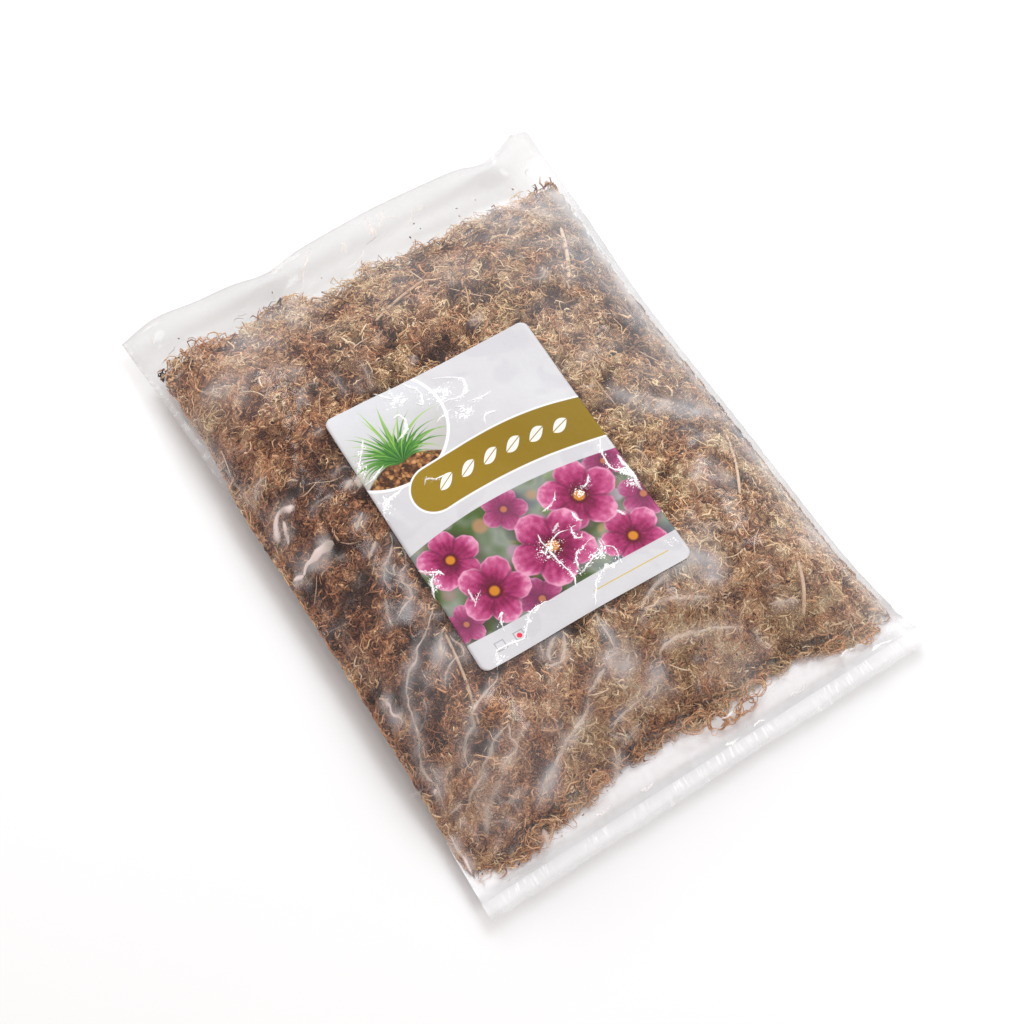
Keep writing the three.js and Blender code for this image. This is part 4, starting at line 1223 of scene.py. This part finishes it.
def makePleats(name, paths, material):
    # a strip five points wide along each path, its middle raised by rise and its sides sunk by sink
    columns = pleat["across"]
    across = np.linspace(-1, 1, columns)
    places, faces, middle, white, start = [], [], [], [], 0
    for number, (path, halfBreadth, whiteningAndGlint, *flare) in enumerate(paths):
        line = smoothPath(np.array(path, float), pleat["spacing"])
        rows = len(line)
        run = np.arange(rows) * pleat["spacing"]
        tangent = unit(np.gradient(line, axis=0), 1e-9)
        normal = np.stack([-tangent[:, 1], tangent[:, 0]], -1)
        line = line + normal * (pleat["wander"] * lineNoise(run, 2.6, 51, 9.3 * number))[:, None]
        s = np.linspace(0, 1, rows)
        taper = 0.3 + 0.7 * np.clip(5 * s * (1 - s), 0, 1)
        fade = np.clip(9 * s * (1 - s), 0, 1) ** 0.6 * (0.85 + 0.4 * lineNoise(run, 5, 53, 3.7 * number))
        if flare:
            taper = (0.2 + 0.9 * s) * np.clip(3 * (1.02 - s), 0, 1) ** 0.5
            fade = 1 - 0.55 * ease(s, 0.55, 1)
        breadth = (halfBreadth + pleat["widen"]) * taper * (1 + 0.5 * lineNoise(run, 4, 52, 5.1 * number))
        places.append((line[:, None] + normal[:, None] * (breadth[:, None] * across)[..., None]).reshape(-1, 2))
        faces.append(gridFaces(rows, columns, start, True))
        start += rows * columns
        ridge = np.minimum((1 - np.abs(across)) * (1.1 + 0.12 * halfBreadth), 1.05)
        middle.append(np.tile(ridge, rows))
        white.append(np.repeat(np.clip(whiteningAndGlint * fade, 0, 1), columns))
    x, y = np.vstack(places).T
    middle = np.concatenate(middle)
    onLabel = ease(insideLabel(x, y, 0), -0.5, 0.3) * (label["seat"] + label["thick"])
    z = frontSurface(x, y) + onLabel - pleat["sink"] + (pleat["rise"] + pleat["sink"]) * ease(middle, 0, 1)
    piece = buildPiece(name, asPoints(x, y, z), [np.concatenate(faces)], material)
    paintPoints(piece, "middle", middle)
    paintPoints(piece, "white", np.concatenate(white))


# the broad faint creases are haze alone
raised = [crease for crease in filmCreasesAndGlints if crease[1] < 2.4 or crease[2] > 0.8]
makePleats("filmPleats", raised + looseCreases, pleatAndGlintMaterial)
onSticker = [(path, 0.7 * breadth, white) for path, breadth, white in labelCreasesAndGlints]
makePleats("labelGlintPleats", onSticker, glintMaterial)
makePleats("mouthGlintPleats", mouthGlints, glintMaterial)
print("film made")


# ---- sticker: a thin slab on the film, its rows closer together round the corners
def makeSticker():
    # each row's half width is w/2 - r + (r^2 - past^2)^0.5, past being how far it is into the rounded corners
    corner, width, height = label["corner"], label["width"], label["height"]
    rounding = corner * (1 - np.cos(np.linspace(0, math.pi / 2, 7)))
    middle = np.linspace(corner, height - corner, label["rows"])[1:-1]
    v = np.concatenate([rounding, middle, height - rounding[::-1]]) - height / 2
    past = np.maximum(np.abs(v) - (height / 2 - corner), 0)
    half = width / 2 - corner + np.sqrt(np.maximum(corner ** 2 - past ** 2, 0))
    u = np.linspace(-1, 1, label["columns"])[None, :] * half[:, None]
    v = v[:, None] + 0 * u
    x = label["x"] + u * math.cos(label["turn"]) - v * math.sin(label["turn"])
    y = label["y"] + u * math.sin(label["turn"]) + v * math.cos(label["turn"])
    low = frontSurface(x, y) + label["seat"]
    points = np.concatenate([asPoints(x, y, low + label["thick"]), asPoints(x, y, low)])
    piece = buildPiece("stickerPrint", points, [shellFaces(*x.shape)], labelMaterial)
    corners = np.empty(len(piece.data.loops), np.int32)
    piece.data.loops.foreach_get("vertex_index", corners)
    place = np.tile(np.stack([u / width + 0.5, v / height + 0.5], -1).reshape(-1, 2), (2, 1))
    piece.data.uv_layers.new(name="print").data.foreach_set("uv", place[corners].astype(np.float32).reshape(-1))
    sparkle = np.zeros_like(x)
    for spotX, spotY, reachX, reachY in glintSpots:
        sparkle = np.maximum(sparkle, 1.25 * np.exp(-((x - spotX) / reachX) ** 2 - ((y - spotY) / reachY) ** 2))
    sparkle = np.maximum(sparkle, 3.2 * creaseFields(x, y, labelCreasesAndGlints)[1])
    paintPoints(piece, "glint", np.tile(sparkle.reshape(-1), 2))
    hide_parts("label")


makeSticker()
print("sticker made")

# ---- moss strands; each part of the mat draws from the seed plus its own number
strandShape = {"rings": 3, "radius": 0.41, "length": 7.4, "curl": 2.2, "kink": 0.68, "seed": 3}
pressed = {"gapTop": 1.6, "gapUnder": 1.0, "softTop": 0.8, "softUnder": 0.5, "softSide": 3}


def growStrands(origin, along, beside, length, curl, wave, rings, rng, kink=0.0):
    # p(s) = p0 + L * integral of cos(a) along + sin(a) beside + c out, with a(s) = curl (s - 1/2)
    # + wave sin(2 pi s + phase) + a random walk of steps about `kink`, and c a random tilt at each joint;
    # the curve is then centred on p0
    count = len(origin)
    s = np.linspace(0, 1, rings + 2)
    phase = rng.uniform(0, 2 * math.pi, count)[:, None]
    middle = (s[:-1] + s[1:]) / 2
    angle = curl[:, None] * (middle - 0.5) + wave[:, None] * np.sin(2 * math.pi * middle + phase)
    walk = np.cumsum(rng.normal(0, 1, (count, rings + 1)), axis=1) * kink
    angle = angle + walk - walk.mean(axis=1, keepdims=True)
    tilt = rng.normal(0, 1, (count, rings + 1)) * 0.5 * kink
    step = (np.cos(angle)[..., None] * along[:, None] + np.sin(angle)[..., None] * beside[:, None]
            + tilt[..., None] * np.cross(along, beside)[:, None])
    step *= (length / (rings + 1))[:, None, None]
    path = origin[:, None] + np.concatenate([np.zeros((count, 1, 3)), np.cumsum(step, axis=1)], axis=1)
    return path - (path[:, -1:] - path[:, :1]) / 2


def pressInside(path):
    # keeps the curve between the two films: what comes within `soft` of a limit nears it by 1 - exp(-d / soft)
    x, y, z = path[..., 0], path[..., 1], path[..., 2]
    side, top, under = pressed["softSide"], pressed["softTop"], pressed["softUnder"]
    straight = sideReach(x, y) - side
    past = np.maximum(np.abs(x) - straight, 0)
    x = np.sign(x) * (np.minimum(np.abs(x), straight) + side * (1 - np.exp(-past / side)))
    high, low = topOuter(x, y) - pressed["gapTop"], underOuter(x, y) + pressed["gapUnder"]
    middle = (high + low) / 2
    high, low = np.maximum(high, middle), np.minimum(low, middle)
    z = np.where(z > high - top, high - top * np.exp(np.clip((high - top - z) / top, -20, 0)), z)
    z = np.where(z < low + under, low + under * np.exp(np.clip((z - low - under) / under, -20, 0)), z)
    return np.stack([x, y, z], -1)


def tubeMesh(path, radius, across, sides=3, power=0.45, flat=1.0):
    # rings of points round each path's inner points, radius r (4 s (1 - s))^power, and a tip at both ends
    count, stations = path.shape[:2]
    rings = stations - 2
    s = np.linspace(0, 1, stations)[1:-1]
    tangent = unit(path[:, 2:] - path[:, :-2], 1e-9)
    side = unit(np.cross(tangent, across[:, None]), 1e-9)
    up = np.cross(side, tangent)
    turn = np.arange(sides) * 2 * math.pi / sides
    size = radius[:, None] * (4 * s * (1 - s)) ** power
    ring = np.cos(turn)[:, None] * side[:, :, None] + flat * np.sin(turn)[:, None] * up[:, :, None]
    points = path[:, 1:-1, None] + size[..., None, None] * ring
    points = np.concatenate([points.reshape(count, rings * sides, 3), path[:, :1], path[:, -1:]], axis=1)
    k = np.arange(sides)
    following, last = (k + 1) % sides, (rings - 1) * sides
    rows = (np.arange(rings - 1) * sides)[:, None]
    quads = np.stack([rows + k, rows + following, rows + sides + following, rows + sides + k], -1)
    tips = np.concatenate([np.stack([np.full(sides, rings * sides), following, k], -1),
                           np.stack([np.full(sides, rings * sides + 1), last + k, last + following], -1)])
    offset = (np.arange(count) * (rings * sides + 2))[:, None, None]
    quads = quads.reshape(-1, 4)[None] + offset
    return points.reshape(-1, 3), [quads.reshape(-1, 4), (tips[None] + offset).reshape(-1, 3)]


def surfaceFrame(x, y, height, side):
    # two directions along a surface z = height(x, y), and the one out of it
    reachOut = 1.5
    slopeX = (height(x + reachOut, y) - height(x - reachOut, y)) / (2 * reachOut)
    slopeY = (height(x, y + reachOut) - height(x, y - reachOut)) / (2 * reachOut)
    first = unit(np.stack([np.ones_like(x), np.zeros_like(x), slopeX], -1))
    outwards = unit(np.stack([-slopeX, -slopeY, np.ones_like(x)], -1) * side)
    return first, np.cross(outwards, first), outwards


def spread(rng, columns, rows):
    # jittered places over the mat, as x and y
    s = ((np.arange(columns) + rng.random((rows, columns))) / columns * 2 - 1)
    t = ((np.arange(rows)[:, None] + rng.random((rows, columns))) / rows)
    straight = s * 133
    near, far = mossMouth(straight), mossFar(straight)
    y = near + t * (far - near)
    x = s * sideReach(s * 130, y)
    return x.reshape(-1), y.reshape(-1)


def mossTint(x, y):
    # lightness by patches: brighter tufts, dull and dark ones; painted shade: darker in the pits, holes and
    # crevices
    patches = (0.17 * patchNoise(x, y, 16, 103) + 0.16 * patchNoise(x, y, 6, 104) - 0.3 * pits(x, y)
               - 0.12 * holes(x, y) - 0.14 * crevices(x, y))
    # darker at the far end and on the upper right, lighter towards the mouth
    away = (-0.02 * ease(y, 40, 150) + 0.1 * ease(x, 20, 90) * ease(-y, 20, 90)
            - 0.19 * ease(x, 60, 120) * (1 - ease(-y, 0, 90)))
    away += 0.06 * ease(-y, 90, 150) * (1 - ease(x, 20, 90))
    # painted shade: a dark stretch along the left side, which faces away from the lamps; and a light far right
    # corner
    left = 0.29 * hump(x + 120, 50) * (1 - ease(y, 20, 110)) * (1 - 0.4 * ease(-y, 110, 170))
    return 0.72 + patches + away - left + 0.3 * hump(np.hypot(x - 140, y - 172), 16)


def mossHue(x, y):
    # 0 golden, 1 rusty: by patches, rustier towards the mouth and on the left
    return (0.36 + 0.3 * patchNoise(x, y, 24, 105) + 0.25 * patchNoise(x, y, 10, 106)
            + 0.2 * ease(-y, -60, 180) + 0.38 * hump(x + 120, 60) - 0.12 * ease(x, 20, 110))


def tuftStrands(rng, x, y, height, side, shape):
    # tufts: strands that start near one point and fan out about one heading, with alike tints
    perTuft, tufts = shape["perTuft"], len(x)
    x, y = np.repeat(x, perTuft), np.repeat(y, perTuft)
    count = len(x)
    heading = np.repeat(rng.uniform(0, 2 * math.pi, tufts), perTuft)
    heading += rng.normal(0, 0.7, count) + math.pi * (rng.random(count) < 0.5)
    tuftTint = np.repeat(rng.normal(0, 0.09, tufts), perTuft)
    tuftHue = np.repeat(rng.normal(0, 0.15, tufts), perTuft)
    sunk = np.repeat(rng.random(tufts) ** 1.5 * shape["depth"], perTuft)
    x = x + rng.normal(0, 1.9, count)
    y = y + rng.normal(0, 1.9, count)
    limit = sideReach(x, y)
    x = np.clip(x, -limit, limit)
    first, second, outwards = surfaceFrame(x, y, height, side)
    lean = rng.normal(0, 0.22, count)[:, None]
    along = unit(np.cos(heading)[:, None] * first + np.sin(heading)[:, None] * second + lean * outwards)
    tilt = rng.normal(0, 0.6, count)[:, None]
    beside = squareTo(np.cos(tilt) * np.cross(outwards, along) + np.sin(tilt) * outwards, along)
    level = height(x, y) - side * (sunk + rng.uniform(0, 1.2, count))
    length = shape["scale"] * strandShape["length"] * np.exp(rng.normal(0, 0.45, count))
    curl = rng.normal(strandShape["curl"], 1.2, count) * np.where(rng.random(count) < 0.5, -1, 1)
    wave = rng.normal(0, 0.8, count)
    radius = shape["scale"] * strandShape["radius"] * np.exp(rng.normal(0, 0.33, count))
    # painted shade: strands of deeper tufts are tinted darker
    tint = mossTint(x, y) + tuftTint + rng.normal(0, 0.25, count) - 0.07 * sunk
    hue = mossHue(x, y) + tuftHue + rng.normal(0, 0.12, count)
    path = growStrands(np.stack([x, y, level], -1), along, beside, length, curl, wave, strandShape["rings"],
                       rng, strandShape["kink"])
    return pressInside(path), radius, np.cross(along, beside), tint, hue


def buildStrands(name, strands, node="moss_mat", material=mossMaterial, slotName="moss", **shape):
    # strands: paths, radii, directions across, tints and hues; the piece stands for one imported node
    path, radius, across, tint, hue = strands
    points, faces = tubeMesh(path, radius, across, **shape)
    piece = buildPiece(name, points, faces, material)
    paintPoints(piece, "tint", np.repeat(tint, len(points) // len(path)))
    paintPoints(piece, "hue", np.repeat(hue, len(points) // len(path)))
    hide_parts(node)


topTufts = {"columns": 62, "rows": 84, "perTuft": 7, "scale": 1.0, "depth": 3.6, "pieces": 4}
underTufts = {"columns": 26, "rows": 34, "perTuft": 3, "scale": 1.5, "depth": 2.0}


def makeMossTop():
    # none under the label, fewer in the holes
    rng = np.random.default_rng(strandShape["seed"])
    x, y = spread(rng, topTufts["columns"], topTufts["rows"])
    keep = (insideLabel(x, y, 7) < 0) & (rng.random(len(x)) > 0.3 * holes(x, y))
    strands = tuftStrands(rng, x[keep], y[keep], mossTop, 1, topTufts)
    order = strands[0][:, 0, 1]  # cut into bands along the bag, so that no piece is too heavy
    pieces = topTufts["pieces"]
    cuts = np.quantile(order, np.linspace(0, 1, pieces + 1))
    for k in range(pieces):
        band = (order >= cuts[k]) & ((order < cuts[k + 1]) | (k == pieces - 1))
        buildStrands(f"mossTop{k + 1}", tuple(part[band] for part in strands))


def makeMossUnder():
    # fewer, thicker strands, which show only from below
    rng = np.random.default_rng(strandShape["seed"] + 1)
    x, y = spread(rng, underTufts["columns"], underTufts["rows"])
    buildStrands("mossUnder", tuftStrands(rng, x, y, mossUnder, -1, underTufts))


rimShape = {"count": 3200, "onEnds": 0.6, "length": 9.5, "radius": 0.4, "rings": 4, "kink": 0.5}


def makeMossRim():
    # loops and tips that stand out of the mat's edge, in upright and lying planes
    rng = np.random.default_rng(strandShape["seed"] + 2)
    count = rimShape["count"]
    onEnd = rng.random(count) < rimShape["onEnds"]
    s = rng.uniform(-1, 1, count)
    sign = np.where(rng.random(count) < 0.5, -1.0, 1.0)
    endX = s * 132
    endY = np.where(sign > 0, mossFar(endX), mossMouth(endX)) + rng.normal(0, 1.8, count)
    sideY = s * 178 - 9
    sideX = sign * (sideReach(sign * 130, sideY) - np.abs(rng.normal(0, 2.2, count)))
    x, y = np.where(onEnd, endX, sideX), np.where(onEnd, endY, sideY)
    outwards = np.stack([np.where(onEnd, 0, sign), np.where(onEnd, sign, 0), np.zeros(count)], -1)
    along = np.stack([-outwards[:, 1], outwards[:, 0], rng.normal(0, 0.4, count)], -1)
    along = unit(along + rng.normal(0, 0.7, (count, 1)) * outwards)
    beside = squareTo(outwards + rng.normal(0, 0.5, (count, 3)), along)
    low, high = mossUnder(x, y), mossTop(x, y)
    origin = np.stack([x, y, low + (high - low) * rng.random(count)], -1)
    length = rimShape["length"] * np.exp(rng.normal(0, 0.35, count))
    curl, wave = rng.normal(0, 2.4, count), rng.normal(0, 0.9, count)
    path = growStrands(origin, along, beside, length, curl, wave, rimShape["rings"], rng, rimShape["kink"])
    radius = rimShape["radius"] * np.exp(rng.normal(0, 0.28, count))
    # painted light: rim strands are lighter, those at the far end more so, against the shade at the mat's edges
    tint = mossTint(x, y) + 0.08 + 0.14 * (onEnd & (sign > 0)) + rng.normal(0, 0.16, count)
    hue = mossHue(x, y) + rng.normal(0, 0.2, count)
    buildStrands("mossRim", (pressInside(path), radius, np.cross(along, beside), tint, hue))


lace = {"perLoop": 24, "rings": 5, "kink": 0.22, "length": (6, 11), "radius": (0.3, 0.5), "bend": 4.4}
laceLoops = [  # open loops at the mat's mouth edge: x, y and half lengths
    (6, -186.5, 6.0, 3.0), (17, -191.5, 3.8, 2.4), (27, -189, 5.6, 4.0), (36, -192.5, 4.4, 2.2),
    (46, -187, 5.0, 2.8), (101, -190.5, 4.0, 2.2), (121, -193, 4.8, 2.2), (-60, -184.5, 4.2, 2.4),
    (-100, -191, 4.6, 2.4)]


def makeLace():
    # strands that follow an ellipse round each loop's middle
    rng = np.random.default_rng(strandShape["seed"] + 3)
    middleX, middleY, reachX, reachY = np.repeat(np.array(laceLoops, float), lace["perLoop"], axis=0).T
    count = len(middleX)
    turn = rng.uniform(0, 2 * math.pi, count)
    reachX, reachY = reachX * rng.normal(1, 0.16, count), reachY * rng.normal(1, 0.2, count)
    x, y = middleX + reachX * np.cos(turn), middleY + reachY * np.sin(turn)
    along = unit(np.stack([-reachX * np.sin(turn), reachY * np.cos(turn), 0.8 * rng.normal(0, 1, count)], -1))
    inwards = squareTo(np.stack([middleX - x, middleY - y, rng.normal(0, 0.8, count)], -1), along)
    level = (topOuter(x, y) + underOuter(x, y)) / 2 + rng.normal(0, 0.8, count)
    length = rng.uniform(*lace["length"], count)
    path = growStrands(np.stack([x, y, level], -1), along, inwards, length, length / lace["bend"],
                       rng.normal(0, 0.5, count), lace["rings"], rng, lace["kink"])
    radius, tint = rng.uniform(*lace["radius"], count), rng.uniform(0.45, 0.85, count)
    hue = rng.uniform(0.5, 1.0, count)
    buildStrands("mossLace", (pressInside(path), radius, np.cross(along, inwards), tint, hue))


heart = {"rows": 120, "columns": 90, "endInset": 5, "sideInset": 2.6, "below": 2.8, "above": 2.5, "least": 0.2}


def makeMossHeart():
    # the mass below the strands, darkened as painted shade between them: top and underside grids joined
    # along their rims
    rows, columns = heart["rows"], heart["columns"]
    t, s = np.meshgrid(np.linspace(0, 1, rows), np.linspace(-1, 1, columns), indexing="ij")
    straight = s * 128
    near, far = mossMouth(straight) + heart["endInset"], mossFar(straight) - heart["endInset"]
    y = near + t * (far - near)
    x = s * (sideReach(s * 130, y) - heart["sideInset"])
    grain = 1.2 * patchNoise(x, y, 5, 81) + 0.8 * patchNoise(x, y, 2.9, 82)
    high, low = mossTop(x, y) - heart["below"] + grain, mossUnder(x, y) + heart["above"] - grain
    middle = (high + low) / 2
    high, low = np.maximum(high, middle + heart["least"]), np.minimum(low, middle - heart["least"])
    points = np.concatenate([asPoints(x, y, high), asPoints(x, y, low)])
    piece = buildPiece("mossHeart", points, [shellFaces(rows, columns)], heartMaterial)
    # painted shade: the heart is tinted darker than the strands above it
    paintPoints(piece, "tint", np.tile((mossTint(x, y) - 0.2).reshape(-1), 2))
    paintPoints(piece, "hue", np.tile(mossHue(x, y).reshape(-1), 2))
    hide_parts("moss_mat")


strawShape = {"columns": 20, "rows": 22, "count": 60, "rings": 9, "length": (9, 28), "radius": (0.22, 0.5),
              "seed": 8}


def makeStraws():
    # long thin pale straws that lie on the moss, nearly straight
    rng = np.random.default_rng(strawShape["seed"])
    x, y = spread(rng, strawShape["columns"], strawShape["rows"])
    pick = rng.permutation(len(x))
    x, y = x[pick], y[pick]
    clear = (insideLabel(x, y, -6) < 0) & (y < 140) & (y > -172)
    x, y = x[clear][:strawShape["count"]], y[clear][:strawShape["count"]]
    count = len(x)
    heading = rng.uniform(0, math.pi, count)
    first, second, outwards = surfaceFrame(x, y, topOuter, 1)
    along = np.cos(heading)[:, None] * first + np.sin(heading)[:, None] * second
    length = rng.uniform(*strawShape["length"], count)
    curl, wave = rng.normal(0, 0.5, count), rng.normal(0, 0.12, count)
    path = growStrands(np.stack([x, y, topOuter(x, y) - 2.6], -1), along, np.cross(outwards, along), length,
                       curl, wave, strawShape["rings"], rng)
    level = topOuter(path[..., 0], path[..., 1]) - 2.4 - 1.5 * rng.random((count, 1))
    path = pressInside(np.stack([path[..., 0], path[..., 1], level], -1))
    radius, tint = rng.uniform(*strawShape["radius"], count), rng.uniform(0.3, 0.85, count)
    strands = (path, radius, outwards, tint, np.zeros(count))
    buildStrands("strawBits", strands, "moss_mat", strawMaterial, "straw", sides=4, power=0.25)


stemShape = {"stations": 22, "bow": 1.6, "sides": 12, "power": 0.12, "flat": 0.6, "radius": 0.31}


def makeStems():
    # each stem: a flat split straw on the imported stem's own line, its middle bowed to one side
    upright = np.array([[0.0, 0.0, 1.0]])
    for number, (node, ((ax, ay), (bx, by), thick)) in enumerate(stems.items()):
        s = np.linspace(0, 1, stemShape["stations"])
        length, angle = math.hypot(bx - ax, by - ay), math.atan2(by - ay, bx - ax)
        run, bow = (s - 0.5) * length, stemShape["bow"] * np.sin(math.pi * s)
        x = (ax + bx) / 2 + run * math.cos(angle) - bow * math.sin(angle)
        y = (ay + by) / 2 + run * math.sin(angle) + bow * math.cos(angle)
        z = topOuter(x, y) - bag["wall"] - 1.9 - 0.3 * thick
        path, radius = np.stack([x, y, z], -1)[None], np.array([stemShape["radius"] * thick])
        strands = (path, radius, upright, np.array([0.72 - 0.05 * number]), np.zeros(1))
        buildStrands(f"strawStem{number + 1}", strands, node, strawMaterial, "straw", sides=stemShape["sides"],
                     power=stemShape["power"], flat=stemShape["flat"])


crumbShape = {"mouth": 46, "far": 16, "hairs": 0.3, "rings": 4, "seed": 14}


def makeCrumbs():
    # loose bits and hairs on the back film, outside both ends of the mat
    rng = np.random.default_rng(crumbShape["seed"])
    nearX, farX = rng.uniform(-138, 130, crumbShape["mouth"]), rng.uniform(-140, 138, crumbShape["far"])
    nearY = np.maximum(mossMouth(nearX) - 3 - np.abs(rng.normal(0, 5, len(nearX))), mouthEdge + 3)
    farY = np.minimum(mossFar(farX) + 4 + np.abs(rng.normal(0, 10, len(farX))), farEdge - 8)
    x, y = np.concatenate([nearX, farX]), np.concatenate([nearY, farY])
    count = len(x)
    heading = rng.uniform(0, math.pi, count)
    along = np.stack([np.cos(heading), np.sin(heading), np.zeros(count)], -1)
    beside = np.stack([-np.sin(heading), np.cos(heading), np.zeros(count)], -1)
    hair = rng.random(count) < crumbShape["hairs"]
    length = np.where(hair, rng.uniform(4, 11, count), rng.uniform(0.8, 2.4, count))
    radius = np.where(hair, rng.uniform(0.12, 0.2, count), rng.uniform(0.3, 0.6, count))
    origin = np.stack([x, y, (topOuter(x, y) + underOuter(x, y)) / 2 - 0.2], -1)
    curl, wave = rng.normal(0, 1.2, count), rng.normal(0, 0.5, count)
    path = growStrands(origin, along, beside, length, curl, wave, crumbShape["rings"], rng)
    upright = np.tile([0.0, 0.0, 1.0], (count, 1))
    tint, hue = rng.uniform(0.0, 0.35, count), rng.uniform(0, 1, count)
    buildStrands("mossCrumbs", (pressInside(path), radius, upright, tint, hue))


makeMossHeart()
makeMossTop()
makeMossUnder()
makeMossRim()
makeLace()
makeStraws()
makeStems()
makeCrumbs()
print("moss grown")

# ---- floor, lights and world
floorLook = {"half": 12, "darker": (0.719, 0.724, 0.729, 1), "lighter": (0.727, 0.732, 0.737, 1)}
half = floorLook["half"]  # in m
floorCorners = [(-half, -half, 0), (half, -half, 0), (half, half, 0), (-half, half, 0)]
floorMesh = bpy.data.meshes.new("floor")
floorMesh.from_pydata(floorCorners, [], [(0, 1, 2, 3)])
floor = bpy.data.objects.new("floor", floorMesh)
bpy.context.scene.collection.objects.link(floor)
floorMaterial, tree, surface = newMaterial("paleFloor")
shader = tree.nodes.new("ShaderNodeBsdfDiffuse")
grain = noise(tree, objectPoint(tree), 9.0)
tree.links.new(blendColour(tree, grain, floorLook["darker"], floorLook["lighter"]), shader.inputs["Color"])
tree.links.new(shader.outputs[0], surface)
floorMesh.materials.append(floorMaterial)

lamps = {  # direction from the bag, distance in m, size in m, radiance, and whether reflections show it
    "key": ((0.48, 0.36, 0.8), 2.2, (1.1, 1.1), 9.2, False),
    "lowBack": ((0.1, 0.8, 0.48), 2.2, (1.2, 0.6), 8.0, False),
    "front": ((0.3, -0.8, 0.55), 2.2, (1.4, 0.7), 2.3, False),
    "stripRight": ((0.75, 0.15, 0.65), 2.0, (0.3, 0.8), 3.8, True),
    "stripBack": ((-0.3, 0.7, 0.65), 2.0, (0.8, 0.3), 3.1, True),
    "stripHigh": ((0.0, -0.1, 1.0), 2.0, (0.2, 0.6), 4.3, True),
    "cardLeft": ((-0.62, 0.4, 0.68), 2.0, (0.25, 0.5), 2.5, True),
}
lampColours = {"key": (0.94, 1.015, 1.045)}  # the others are white
for name, (direction, distance, size, radiance, mirrored) in lamps.items():
    data = bpy.data.lights.new(name, "AREA")
    data.shape = "RECTANGLE"
    data.size, data.size_y = size
    data.color = lampColours.get(name, (1, 1, 1))
    data.energy = math.pi * size[0] * size[1] * radiance
    lamp = bpy.data.objects.new(name, data)
    lamp.visible_glossy = mirrored
    towards = Vector(direction).normalized()
    lamp.location = towards * distance
    lamp.rotation_euler = towards.to_track_quat("Z", "Y").to_euler()
    bpy.context.scene.collection.objects.link(lamp)

skyLook = {"colour": (1.09, 0.975, 0.935, 1), "strength": 0.6}
world = bpy.data.worlds.new("studio")
bpy.context.scene.world = world
world.use_nodes = True
sky = world.node_tree.nodes["Background"]
sky.inputs["Color"].default_value = skyLook["colour"]
sky.inputs["Strength"].default_value = skyLook["strength"]
bpy.context.scene.view_settings.view_transform = "Standard"
print("stage set")
